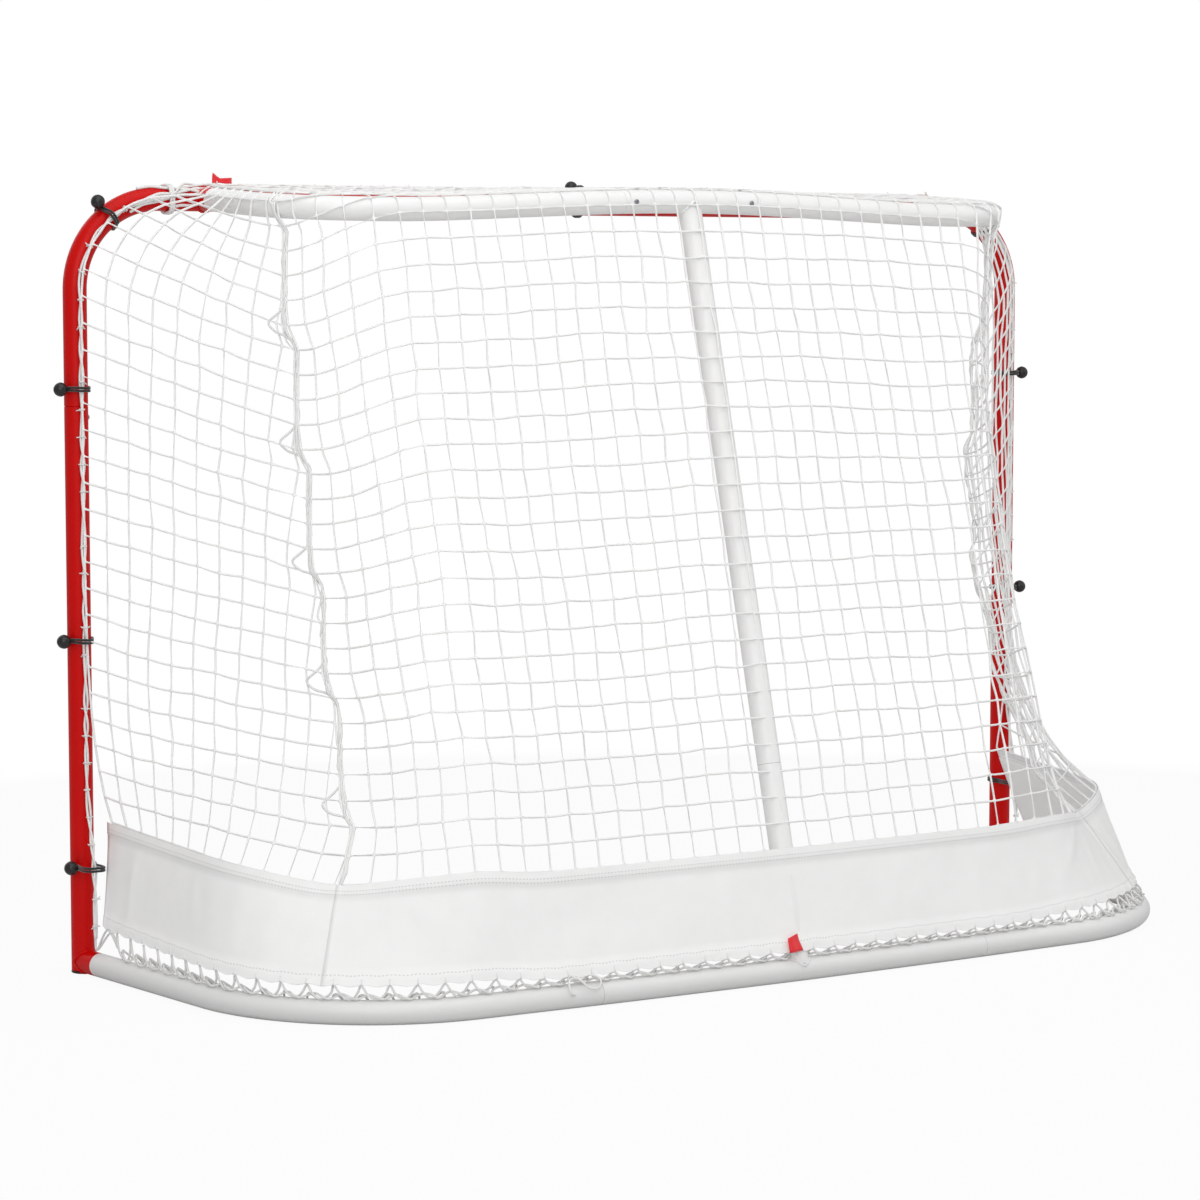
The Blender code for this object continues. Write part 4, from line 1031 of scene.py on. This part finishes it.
def strands(name, bm, node):
    """Twine along every edge of a mesh of cells, rounded by one subdivision."""
    bm.normal_update()
    bmesh.ops.wireframe(
        bm, faces=bm.faces[:], thickness=sizes().strand, offset=0, use_replace=True, use_boundary=True,
        use_even_offset=False,
    )
    rounded = piece("net_mesh_" + name, bm, "net_twine", node).modifiers.new("round strands", "SUBSURF")
    rounded.levels = rounded.render_levels = 1


def cell_grid(columns, rows, first_column=0, first_row=0):
    """Cells on a flat grid, one unit each."""
    bm = bmesh.new()
    bmesh.ops.create_grid(bm, x_segments=columns, y_segments=rows, size=0.5)
    bmesh.ops.scale(bm, vec=(columns, rows, 1), verts=bm.verts)
    bmesh.ops.translate(bm, vec=(columns / 2 + first_column, rows / 2 + first_row, 0), verts=bm.verts)
    return bm


def part_strands(bm):
    """Parts every strand near both its knots, so that its corners stay tight when it is rounded."""
    bmesh.ops.bisect_edges(bm, edges=bm.edges[:], cuts=2)
    for vert in bm.verts:
        for axis in (0, 1):
            share = vert.co[axis] - math.floor(vert.co[axis] + 1e-4)
            for cut, moved in ((1 / 3, 0.15), (2 / 3, 0.85)):
                if abs(share - cut) < 0.02:
                    vert.co[axis] += moved - share


def part_at_shelf(bm):
    """Parts the strands again where they bend round the shelf tube."""
    rows = sizes().rows
    near = []
    for edge in bm.edges:
        low, high = sorted(vert.co.y for vert in edge.verts)
        if rows - 2.3 < low and high < rows + 1.6 and edge.calc_length() > 0.3:
            near.append(edge)
    bmesh.ops.bisect_edges(bm, edges=near, cuts=2)


def hang_cells(bm, place, seed, from_edge):
    """Moves the cells of a flat grid to their places, with slack from two cells inside their edges."""
    amount = sizes().slack
    for vert in bm.verts:
        column, row = vert.co.x, vert.co.y
        point = place(column, row)
        free = clamped(from_edge(column, row) / 2)
        # Both ends of a knot shift together, and the twine between knots hangs a little
        wide = noise.noise_vector(point * 4.0 + Vector((seed, 0, 0)))
        fine = noise.noise_vector(point * 22.0 + Vector((0, seed, 0)))
        knot = noise.noise_vector(Vector((round(column) * 7.3, round(row) * 5.1, seed)))
        point += ((wide * 1.3 + fine * 0.5) * amount + knot * 0.0022) * free
        if abs(column - round(column)) > 0.1:
            point.z -= 0.0012 * free
        vert.co = point


def net():
    """The rear, top and side panels, cell by cell."""
    # Without a seed, each run would hang the slack differently
    noise.seed_set(5)
    own = sizes()
    columns, rows, half = own.rear_columns, own.rows, own.rear_columns // 2

    def from_rear_edge(column, row):
        return min(column, columns - column, row, (rows - settled(column, row)[1]) * 0.8)

    def from_top_edge(column, row):
        return min(column, columns - column, rows + own.top_rows - row, row - rows - 0.7)

    for word, bm, seed, from_edge, node in (
        ("rear_left", cell_grid(half, rows), 3, from_rear_edge, "net_rear"),
        ("rear_right", cell_grid(half, rows, half), 3, from_rear_edge, "net_rear"),
        ("top", cell_grid(columns, own.top_rows, 0, rows), 5, from_top_edge, "net_top"),
    ):
        part_strands(bm)
        part_at_shelf(bm)
        hang_cells(bm, rear_net_point, seed, from_edge)
        strands(word, bm, node)

    for side, word in SIDES:
        bm = cell_grid(math.ceil(own.side_columns), rows + 1)
        top = seam_columns(rows)
        across = Vector((rows, seam_columns(0) - top, 0)).normalized()
        bmesh.ops.bisect_plane(
            bm, geom=bm.verts[:] + bm.edges[:] + bm.faces[:], plane_co=(top, rows, 0), plane_no=across,
            clear_outer=True, dist=0.12,
        )
        part_strands(bm)

        def place(column, row):
            share = min(1.0, column / seam_columns(min(row, rows)))
            return side_net_point(share, min(row, rows + WRAP_ROWS), side)

        def from_side_edge(column, row):
            return min(column, seam_columns(row) - column, row, rows - row)

        hang_cells(bm, place, 7 + side, from_side_edge)
        strands(word, bm, "net_side_" + word)


# Cords


def smooth_route(points, steps):
    """A rounded line through points, as a cord lies."""
    fine = []
    ends = [points[0]] + list(points) + [points[-1]]
    for a, b, c, d in zip(ends, ends[1:], ends[2:], ends[3:]):
        for k in range(steps):
            t = k / steps
            square, cube = 2 * a - 5 * b + 4 * c - d, 3 * b - a - 3 * c + d
            fine.append(0.5 * (2 * b + (c - a) * t + square * t**2 + cube * t**3))
    return Route(fine + [points[-1]])


def cord(bm, points, rounding, radius, sides, step):
    """A round cord through points, its rings carried along it without twisting."""
    route = smooth_route(points, rounding)
    count = max(2, round(route.length / step))
    first = UP if abs(route.tangent(0, step / 2).z) < 0.8 else REAR
    frames = []
    for k in range(count + 1):
        s = route.length * k / count
        axis = route.tangent(s, step / 2)
        first = square_to(axis, first)
        frames.append(ring_place(route.at(s), axis, first, radius))
    sweep(bm, frames, sides)


def rope_angle(x):
    """How far the edge rope lies above the rear of the tube, by its place along the crossbar."""
    from_stub, straight_end = abs(x) - SHELF_X, POST_X - CORNER_RADIUS
    if from_stub > 0:
        share = clamped((straight_end - abs(x)) / (straight_end - SHELF_X - TUBE_R))
        return ROPE_STUB_ANGLE * (1 - math.cos(math.pi * share)) / 2
    share = clamped((-from_stub - TUBE_R) / (2 * TUBE_R))
    return ROPE_STUB_ANGLE + (ROPE_TOP_ANGLE - ROPE_STUB_ANGLE) * (1 - math.cos(math.pi * share)) / 2


def rope_slack(s):
    """How far the rope is drawn back by the skirt near the ground."""
    return ROPE_SLACK * eased((0.32 - min(s, FRONT.length - s)) / 0.18)


def rope_point(s):
    """A point of the edge rope's centre line, by the length along the front frame."""
    point = FRONT.at(s) + REAR * rope_slack(s)
    angle = rope_angle(point.x) if abs(point.x) < POST_X - CORNER_RADIUS else 0
    return point + from_rear(s, angle, FRONT) * ROPE_DISTANCE


def edge_rope():
    """Two cords side by side up one post, along the crossbar and down the other, with frayed knots."""
    bm = bmesh.new()
    random = np.random.RandomState(11)
    start, end, pitch = ROPE_BOTTOM, FRONT.length - ROPE_BOTTOM, 0.120
    count = round((end - start) / 0.006)

    def place(s, turn, reach):
        return rope_point(s) + from_rear(s, turn, FRONT) * reach

    for strand in (0, 1):
        points = []
        for k in range(count + 1):
            s = start + (end - start) * k / count
            turn = 2 * math.pi * s / pitch + math.pi * strand + 0.8 * math.sin(s * 31)
            points.append(place(s, turn, 0.0024 + 0.0005 * math.sin(s * 47 + strand)))
        cord(bm, points, 1, 0.0019, 8, 0.006)
    s = start + 0.02
    while s < end:
        ring = [place(s + 0.0008 * math.sin(k), 2 * math.pi * k / 9, 0.0042) for k in range(10)]
        cord(bm, ring, 2, 0.0013, 6, 0.003)
        for k in range(3):
            turn, lean = random.uniform(0, 2 * math.pi), random.uniform(-0.004, 0.004)
            reach = random.uniform(0.006, 0.0095)
            middle = place(s + lean * 0.4, turn + 0.1, reach * 0.7)
            cord(bm, [place(s, turn, 0.003), middle, place(s + lean, turn + 0.3, reach)], 1, 0.0009, 5, 0.003)
        s += random.choice([1, 1, 2]) * 0.0433
    # A tie near the left stub, and net strands that are bunched over the crossbar beside it
    tied = FRONT.length / 2 - GATHER_X

    def on_bar(along, angle, over=0.0):
        turn = math.radians(angle)
        around = REAR * math.cos(turn) + UP * math.sin(turn)
        return FRONT.at(tied + along) + around * (TUBE_R + 0.0026 + over)

    tie = []
    for k in range(29):
        tie.append(on_bar(-0.004 + 0.008 * k / 28, 180 - 360 * k / 14, 0.004 * math.sin(k * 0.9) ** 2))
    cord(bm, tie, 2, 0.0028, 8, 0.005)
    # Where each strand starts and ends, along the crossbar and in degrees up from its rear
    for first, last, low, high in (
        (-0.055, 0.080, 78, 22), (-0.045, 0.090, 8, 66), (-0.075, 0.060, -28, 34), (0.0, 0.1, -38, 4),
    ):
        strand = [
            on_bar(first + (last - first) * k / 6, low + (high - low) * k / 6 + 5 * math.sin(k * 2.1))
            for k in range(7)
        ]
        cord(bm, strand, 3, 0.0024, 8, 0.005)
    piece("rope_net_edge", bm, "white_cord", "net_edge_rope")


def seam_cords():
    """The gathered seam at each rear corner: a core cord, a wavy lacing and a loop at each step."""
    own = sizes()
    count = own.rows * 4
    for side, word in SIDES:
        rear_column = 0.0 if side > 0 else own.rear_columns
        random = np.random.RandomState(21 + side)

        def knot(share, row):
            return side_net_point(share, row, side)

        def seam(row):
            return (knot(1.0, row) + rear_net_point(rear_column, row)) / 2

        bm = bmesh.new()
        core, lacing = [], []
        for k in range(count + 1):
            row = own.rows * k / count
            across = (rear_net_point(rear_column, row) - knot(1.0, row)).normalized()
            out = Vector((across.y, -across.x, 0)).normalized()
            middle = seam(row) + Vector(random.uniform(-1, 1, 3)) * 0.0010
            core.append(middle)
            turn = math.pi * k / 5
            swing = 0.0034 + 0.0016 * random.uniform(-1, 1)
            lacing.append(middle + across * math.sin(turn) * swing + out * math.cos(turn) * 0.003)
        cord(bm, core, 3, 0.0022, 8, 0.006)
        cord(bm, lacing, 3, 0.0019, 8, 0.005)
        row = SEAM_FIRST_STEP
        while row < own.rows - 1:
            # A loop leaves the seam above a step, takes in a knot of the side panel and comes back below it
            path = [
                seam(row + 0.95), seam(row + 0.7).lerp(knot(0.955, row + 0.45), 0.6), knot(0.93, row + 0.05),
                knot(0.95, row - 0.25), seam(row - 0.3).lerp(knot(0.96, row - 0.3), 0.4), seam(row - 0.45),
            ]
            cord(bm, path, 4, 0.0019, 8, 0.005)
            row += SEAM_STEP_ROWS
        piece("cord_seam_" + word, bm, "white_cord", "net_seam_cord_" + word)


# Skirt and lacing


def crease(s, rise):
    """How far a few pressed folds lift the cloth: most near the corners, where the lacing pulls."""
    lift = 0.0
    for top, bottom, low, high, depth in CREASES:
        along = (rise - low) / (high - low)
        across = (s - bottom - (top - bottom) * rise) / CREASE_WIDTH
        if 0 < along < 1 and abs(across) < 3:
            lift += depth * math.sin(math.pi * along) * math.exp(-across * across)
    return lift


def skirt_place(s, rise, proud=0.0):
    """A point of the skirt: its share of the way up, and how far it stands out from the cloth's own line."""
    from_end = min(s, BASE.length - s) - SKIRT_START
    along = math.copysign(math.exp(-from_end / 0.06), BASE.length / 2 - s)
    lift, tuck = skirt_lift(s), corner_tuck(s)
    low = beside_base(
        s + 0.044 * along, SKIRT_BOTTOM_OFFSET - tuck * LOW_TUCK_SHARE, SKIRT_BOTTOM + lift + tuck * 0.2
    )
    high = beside_base(s - 0.008 * along, SKIRT_BOTTOM_OFFSET - skirt_lean(s) - tuck, skirt_top(s) + lift)
    # Slack in broad waves about 150 mm long and in pulls about 30 mm long, held at both hems
    broad = noise.noise(Vector((s * 7.0, rise * 0.6, 2.0))) * 0.006
    close = noise.noise(Vector((s * 34.0, rise * 2.0, 5.0))) * 0.0016
    slack = (broad + close) * math.sin(math.pi * clamped(rise))
    tangent = BASE.tangent(s, 0.012)
    out = tangent.cross(low - high).normalized()
    if out.dot(tangent.cross(UP)) < 0:
        out = -out
    scallop = 0.0018 * math.cos(2 * math.pi * s / sizes().tie_pitch) * max(0.0, 1 - rise * 6)
    return low.lerp(high, rise) + out * (proud + slack + crease(s, rise)) + UP * scallop


def skirt():
    """Three panels sewn end to end, hemmed at top and bottom."""
    lap, end_seam = 0.006, BASE.length - SKIRT_SEAM
    hem = HEM / SKIRT_HEIGHT
    fold = [0, 0.004, hem * 0.5, hem, hem + 0.006]
    lines = fold + [fold[-1] + (1 - 2 * fold[-1]) * k / 12 for k in range(1, 12)]
    lines += [1 - line for line in fold[::-1]]
    for word, start, end in (
        ("side_left", SKIRT_START, SKIRT_SEAM),
        ("rear", SKIRT_SEAM - lap, end_seam + lap),
        ("side_right", end_seam, BASE.length - SKIRT_START),
    ):
        columns = max(8, round((end - start) / 0.0085))
        bm = bmesh.new()
        bmesh.ops.create_grid(bm, x_segments=columns, y_segments=len(lines) - 1, size=0.5, calc_uvs=True)
        uv = bm.loops.layers.uv.new("cloth")
        for face in bm.faces:
            for loop in face.loops:
                line = round((loop.vert.co.y + 0.5) * (len(lines) - 1))
                loop[uv].uv = ((loop.vert.co.x + 0.5) * (end - start), lines[line] * SKIRT_HEIGHT)
        for vert in bm.verts:
            s = start + (end - start) * (vert.co.x + 0.5)
            rise = lines[round((vert.co.y + 0.5) * (len(lines) - 1))]
            proud = HEM_PROUD if min(rise, 1 - rise) <= hem + 0.001 else 0.0
            if word == "rear":
                proud += 0.0014 * max(0.0, 1 - min(s - start, end - s) / 0.012)
            vert.co = skirt_place(s, rise, proud)
        obj = piece("cloth_skirt_" + word, bm, "skirt_cloth", "skirt_" + word, smooth=50)
        walled(obj, sizes().cloth_thickness)
        stops = [start + (end - start) * k / 80 for k in range(81)]
        low, high = [Route([skirt_place(s, rise) for s in stops]).length for rise in (0, 1)]


def rail_point(s, distance):
    return beside_base(s, math.cos(RAIL_ANGLE) * distance, TUBE_R + math.sin(RAIL_ANGLE) * distance)


def rails():
    """The rods inside the base hoop that the lacing passes round."""
    first = BASE_STUB_LENGTH + RAIL_END_CLEARANCE
    before, after = BASE_SEAM - RAIL_END_CLEARANCE, BASE_SEAM + RAIL_END_CLEARANCE
    turn = RAIL_STAND_OFF + RAIL_RADIUS
    for word, start, end in (
        ("left", first, before), ("centre", after, BASE.length - after),
        ("right", BASE.length - before, BASE.length - first),
    ):
        count = round((end - start) / 0.02)
        points = [rail_point(start, TUBE_R - 0.002), rail_point(start + 0.0005, TUBE_R + turn * 0.5)]
        for k in range(count + 1):
            points.append(rail_point(start + turn + (end - start - 2 * turn) * k / count, TUBE_R + turn))
        points += [rail_point(end - 0.0005, TUBE_R + turn * 0.5), rail_point(end, TUBE_R - 0.002)]
        bm = bmesh.new()
        cord(bm, points, 4, RAIL_RADIUS, 14, 0.006)
        piece("rod_" + word, bm, "white_powder_coat", "lacing_rail_" + word)


def lacing():
    """The rods, the cord that crosses between them and the hem, its ties and its knot."""
    rails()
    pitch = sizes().tie_pitch
    random = np.random.RandomState(40)
    middle = BASE.length / 2
    count = int((middle - 0.075) / pitch)
    places = [middle + pitch * (k + 0.5) for k in range(-count, count)]
    top = TUBE_R * 2 + LACING_RADIUS + 0.0004
    behind_rail = TUBE_R + RAIL_STAND_OFF + RAIL_RADIUS + 0.0045
    bm = bmesh.new()

    def near_hem(s, height, offset):
        """A point by its share of the way from the tube to the hem, and its distance out from the cloth."""
        low = beside_base(s, offset - corner_tuck(s) * LOW_TUCK_SHARE * height, top)
        low.z = top + (skirt_place(s, 0).z - top) * height
        return low + Vector(random.uniform(-1, 1, 3)) * 0.0009

    def lace(points, rounding=4, step=0.005):
        cord(bm, points, rounding, LACING_RADIUS, 7, step)

    first, second, behind = [], [], []
    for s in places:
        drawn = pitch * random.uniform(0.95, 1.05)
        for run, turn in ((first, FIRST_TURN), (second, SECOND_TURN)):
            run += [near_hem(s + drawn * share, height, offset) for share, height, offset in turn]
        behind += [near_hem(s, 0.3, -0.002)]
        behind += [rail_point(s + pitch * share, behind_rail) for share in (0.3, 0.6)]
    for run in (first, second, behind):
        lace(run)
    for s in places:
        # A tie through the hem holds each loop
        tie = [skirt_place(s, 0.055, 0.0012), skirt_place(s, 0.01, 0.0016), skirt_place(s, -0.008, 0.0012)]
        cord(bm, tie, 1, 0.0010, 6, 0.005)
    # The ends are tied to the rope at each post
    for nearest, corner_s, rope_s, stub_s in (
        (places[0], SKIRT_START, ROPE_BOTTOM, BASE_STUB_LENGTH),
        (
            places[-1] + pitch, BASE.length - SKIRT_START, FRONT.length - ROPE_BOTTOM,
            BASE.length - BASE_STUB_LENGTH,
        ),
    ):
        corner, rope = skirt_place(corner_s, 0), rope_point(rope_s)
        for height, over in ((0.004, 0.35), (0.016, 0.6)):
            lace([
                rope + UP * 0.02, rope + UP * height, beside_base(stub_s, 0.004, top + 0.003),
                corner.lerp(near_hem(nearest, 0.8, 0.01), over), near_hem(nearest, 0.4, 0.006),
            ], 5)
    # Where the two lengths of cord are knotted: a loose loop and a tail that hang over the tube
    for path in (KNOT_LOOP, KNOT_TAIL):
        lace([near_hem(KNOT_PLACE + along, height, offset) for along, height, offset in path], 4, 0.004)
    knot = []
    for k in range(11):
        turn = k * 1.3
        knot.append(near_hem(KNOT_PLACE + 0.004 * math.cos(turn), 0.8 + 0.25 * math.sin(turn), 0.0125))
    lace(knot, 3, 0.003)
    piece("cord_lacing", bm, "white_cord", "lacing_cord")


# Bungees and ribbons


def ball_bungee(name, front, s, rope, ball):
    """A ball with its elastic, doubled round the tube and the rope; angles run from the rear."""
    centre, tangent, axis = front.at(s), front.tangent(s), from_rear(s, ball, front)
    ring = TUBE_R + 0.0004 + ELASTIC_RADIUS
    lifted = NET_FRONT + 0.0028 + ELASTIC_RADIUS + rope_slack(s)
    hole = centre + axis * (TUBE_R + 0.0075)

    def around(angle, shift):
        """A point of the elastic: close to the tube, and lifted over the rope and the net's edge."""
        apart = max(0.0, abs((angle - rope + math.pi) % (2 * math.pi) - math.pi) - 0.2)
        distance = ring + (lifted - ring) * math.exp(-((apart / 0.34) ** 2))
        return centre + from_rear(s, angle, front) * distance + tangent * shift

    start, end, count = ball + 0.16, ball + 2 * math.pi - 0.16, 40
    angles = [start + (end - start) * k / count for k in range(count + 1)]
    go = [around(angle, 0.0023 + 0.0006 * math.sin(angle * 3)) for angle in angles]
    back = [around(angle, -0.0023 + 0.0005 * math.sin(angle * 2)) for angle in angles[::-1]]
    inner = hole - axis * 0.001
    bm = bmesh.new()
    for path in ([hole + tangent * 0.0012] + go + [inner], [inner] + back + [hole - tangent * 0.0012]):
        cord(bm, path, 2, ELASTIC_RADIUS, 10, 0.004)
    piece("elastic_" + name, bm, "black_elastic", name + "_elastic")

    profile = [(TUBE_R + 0.0012, 0.0022), (TUBE_R + 0.0010, 0.0036), (TUBE_R + 0.0040, 0.0040)]
    for k in range(2, 15):
        turn = math.pi * k / 16
        # The mould's parting line stands a little proud
        seam = 0.00022 if k == 8 else 0.0
        profile.append((BALL_DISTANCE - BALL_RADIUS * math.cos(turn), BALL_RADIUS * math.sin(turn) + seam))
    profile += [(BALL_DISTANCE + BALL_RADIUS * 0.985, 0.0016), (BALL_DISTANCE + BALL_RADIUS * 0.95, 0.0009)]
    ball_mesh = turned(centre, axis, tangent, profile, 28)
    piece("ball_" + name, ball_mesh, "black_plastic", name + "_ball", smooth=60)


def bungees():
    """Three on each post, one on each corner bend and one at the middle of the crossbar."""
    corner = CROSSBAR_Z - CORNER_RADIUS + CORNER_RADIUS * BUNGEE_CORNER_ANGLE
    for side, word in SIDES:
        front = side_route(FRONT, side)
        for place, height in BUNGEE_HEIGHTS.items():
            turn = BALL_ANGLE - (LOW_BALL_DROP if place == "low" else 0)
            ball_bungee("bungee_%s_%s" % (word, place), front, height, 0, turn)
        ball_bungee("bungee_%s_corner" % word, front, corner, 0, BALL_ANGLE)
    ball_bungee("bungee_crossbar", FRONT, FRONT.length / 2, ROPE_TOP_ANGLE, CROSSBAR_BALL_ANGLE)


def ribbon(name, outline, across, up, corner, node):
    """A short length of ribbon cut to an outline, softly curled."""
    bm = bmesh.new()
    bm.faces.new([bm.verts.new((a, b, 0)) for a, b in outline])
    bmesh.ops.triangulate(bm, faces=bm.faces[:])
    bmesh.ops.subdivide_edges(bm, edges=bm.edges[:], cuts=4, use_grid_fill=True)
    out = across.cross(up).normalized()
    for vert in bm.verts:
        a, b = vert.co.x, vert.co.y
        curl = 0.0012 * math.sin(a * 220) + 0.0010 * math.sin(b * 190 + 1)
        vert.co = corner + across * a + up * b + out * curl
    obj = piece(name, bm, "red_ribbon", node)
    walled(obj, RIBBON_THICKNESS)
    return obj


def ribbons():
    """A bow on the net's rope at one stub, and a flag on the skirt's hem behind the upright."""
    corner = middle_of("ribbon_tag_top") + Vector((-0.026, 0.001, -0.002))
    obj = ribbon("ribbon_bow", BOW, ACROSS, UP, corner, "ribbon_tag_top")
    low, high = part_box("ribbon_tag_base")
    lean = Vector((0, low.y - high.y, high.z - low.z)).normalized()
    corner = Vector(((low.x + high.x) / 2 + 0.030, high.y + 0.004, low.z - 0.007))
    obj = ribbon("ribbon_flag", FLAG, -ACROSS, lean, corner, "ribbon_tag_base")


# Studio


def seen_share(tree):
    """1 where the camera sees a thing, straight or through glass, and 0 where it only gives light."""
    path = add_node(tree, "ShaderNodeLightPath").outputs
    rays = {0: path["Is Camera Ray"], 1: path["Is Transmission Ray"]}
    return add_node(tree, "ShaderNodeMath", rays, operation="MAXIMUM").outputs[0]


def floor():
    """A pale floor that keeps the shadow."""
    finish, tree, shader = surface(
        "studio_floor", {"Base Color": (*colours().floor, 1), "Roughness": 0.9, "Specular IOR Level": 0.0}
    )
    place = add_node(tree, "ShaderNodeTexCoord").outputs["Object"]
    away = add_node(tree, "ShaderNodeVectorMath", {0: place}, operation="LENGTH")
    # Between 1.2 and 2.6 m from the middle the floor turns to the white of the backdrop
    far = add_node(
        tree, "ShaderNodeMapRange", {"Value": away.outputs["Value"], "From Min": 1.2, "From Max": 2.6},
        interpolation_type="SMOOTHSTEP",
    )
    least = add_node(tree, "ShaderNodeMath", {0: far.outputs["Result"], 1: FLOOR_WHITE}, operation="MAXIMUM")
    share = add_node(tree, "ShaderNodeMath", {0: seen_share(tree), 1: least.outputs[0]}, operation="MULTIPLY")
    white = add_node(tree, "ShaderNodeEmission", {"Color": (1, 1, 1, 1), "Strength": 1.0})
    both = {0: share.outputs[0], 1: shader.outputs[0], 2: white.outputs[0]}
    mixed = add_node(tree, "ShaderNodeMixShader", both)
    set_inputs(tree.nodes["Material Output"], {"Surface": mixed.outputs[0]})
    bm = bmesh.new()
    bmesh.ops.create_circle(bm, cap_ends=True, segments=64, radius=12)
    mesh = bpy.data.meshes.new("floor")
    bm.to_mesh(mesh)
    bm.free()
    mesh.materials.append(finish)
    ground = bpy.data.objects.new("floor", mesh)
    bpy.context.scene.collection.objects.link(ground)


def stage():
    """The floor, plain soft light and the camera at the photograph's view."""
    scene = bpy.context.scene
    floor()
    scene.world = bpy.data.worlds.new("studio")
    scene.world.use_nodes = True
    tree = scene.world.node_tree
    steps = {"Value": seen_share(tree), "To Min": WORLD_LIGHT, "To Max": 1.0}
    level = add_node(tree, "ShaderNodeMapRange", steps)
    set_inputs(tree.nodes["Background"], {"Strength": level.outputs[0], "Color": (1, 1, 1, 1)})
    for name, (size, power, location) in LAMPS.items():
        light = bpy.data.lights.new(name, "AREA")
        light.size = size
        light.energy = power
        lamp = bpy.data.objects.new(name, light)
        lamp.location = location
        lamp.rotation_euler = (Vector((0, 0, 0.5)) - lamp.location).to_track_quat("-Z", "Y").to_euler()
        scene.collection.objects.link(lamp)
    lens = bpy.data.cameras.new("camera")
    lens.sensor_width = SENSOR
    lens.lens = FOCAL_PIXELS / PHOTO_WIDTH * SENSOR
    camera = bpy.data.objects.new("camera", lens)
    camera.location = CAMERA_PLACE
    camera.rotation_euler = CAMERA_TURN
    scene.collection.objects.link(camera)
    scene.camera = camera
    scene.view_settings.view_transform = "Standard"


# Operators


class GOAL_OT_front_frame(bpy.types.Operator):
    """Build the red posts, corner bends and crossbar"""
    bl_idname = "goal.front_frame"
    bl_label = "Front frame"

    def execute(self, context):
        front_frame()
        return {"FINISHED"}


class GOAL_OT_hoops(bpy.types.Operator):
    """Build the white base hoop, shelf hoop and upright"""
    bl_idname = "goal.hoops"
    bl_label = "Hoops and upright"

    def execute(self, context):
        hoops()
        return {"FINISHED"}


class GOAL_OT_screws(bpy.types.Operator):
    """Put a screw in every slip joint"""
    bl_idname = "goal.screws"
    bl_label = "Joint screws"

    def execute(self, context):
        screws()
        return {"FINISHED"}


class GOAL_OT_net(bpy.types.Operator):
    """Hang the rear, top and side panels of the net"""
    bl_idname = "goal.net"
    bl_label = "Net panels"

    def execute(self, context):
        net()
        return {"FINISHED"}


class GOAL_OT_net_cords(bpy.types.Operator):
    """Lay the edge rope and the seam cords of the net"""
    bl_idname = "goal.net_cords"
    bl_label = "Net cords"

    def execute(self, context):
        edge_rope()
        seam_cords()
        return {"FINISHED"}


class GOAL_OT_skirt(bpy.types.Operator):
    """Sew the skirt's three panels"""
    bl_idname = "goal.skirt"
    bl_label = "Skirt"

    def execute(self, context):
        skirt()
        return {"FINISHED"}


class GOAL_OT_lacing(bpy.types.Operator):
    """Lace the skirt's hem to the rods inside the base hoop"""
    bl_idname = "goal.lacing"
    bl_label = "Lacing"

    def execute(self, context):
        lacing()
        return {"FINISHED"}


class GOAL_OT_bungees(bpy.types.Operator):
    """Tie the net's rope to the frame with ball bungees"""
    bl_idname = "goal.bungees"
    bl_label = "Ball bungees"

    def execute(self, context):
        bungees()
        return {"FINISHED"}


class GOAL_OT_ribbons(bpy.types.Operator):
    """Tie on the two ribbon tags"""
    bl_idname = "goal.ribbons"
    bl_label = "Ribbon tags"

    def execute(self, context):
        ribbons()
        return {"FINISHED"}


class GOAL_OT_stage(bpy.types.Operator):
    """Set the floor, the lights and the camera"""
    bl_idname = "goal.stage"
    bl_label = "Studio"

    def execute(self, context):
        stage()
        return {"FINISHED"}


class GOAL_PT_panel(bpy.types.Panel):
    bl_label = "Street hockey goal"
    bl_idname = "GOAL_PT_panel"
    bl_space_type = "VIEW_3D"
    bl_region_type = "UI"
    bl_category = "Goal"

    def draw(self, context):
        layout = self.layout
        for operator in OPERATORS:
            layout.operator(operator.bl_idname)
        for group in (context.scene.goal_sizes, context.scene.goal_colours):
            box = layout.box()
            for name in group.__annotations__:
                box.prop(group, name)


OPERATORS = (
    GOAL_OT_stage,
    GOAL_OT_front_frame,
    GOAL_OT_hoops,
    GOAL_OT_screws,
    GOAL_OT_net,
    GOAL_OT_net_cords,
    GOAL_OT_skirt,
    GOAL_OT_lacing,
    GOAL_OT_bungees,
    GOAL_OT_ribbons,
)


def register():
    for made in (GoalSizes, GoalColours, *OPERATORS, GOAL_PT_panel):
        bpy.utils.register_class(made)
    bpy.types.Scene.goal_sizes = bpy.props.PointerProperty(type=GoalSizes)
    bpy.types.Scene.goal_colours = bpy.props.PointerProperty(type=GoalColours)


def unregister():
    del bpy.types.Scene.goal_colours
    del bpy.types.Scene.goal_sizes
    for made in (GOAL_PT_panel, *OPERATORS[::-1], GoalColours, GoalSizes):
        bpy.utils.unregister_class(made)


def main():
    register()
    bpy.ops.goal.stage()
    bpy.ops.goal.front_frame()
    bpy.ops.goal.hoops()
    bpy.ops.goal.screws()
    bpy.ops.goal.net()
    bpy.ops.goal.net_cords()
    bpy.ops.goal.skirt()
    bpy.ops.goal.lacing()
    bpy.ops.goal.bungees()
    bpy.ops.goal.ribbons()
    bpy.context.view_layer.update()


if __name__ == "__main__":
    main()
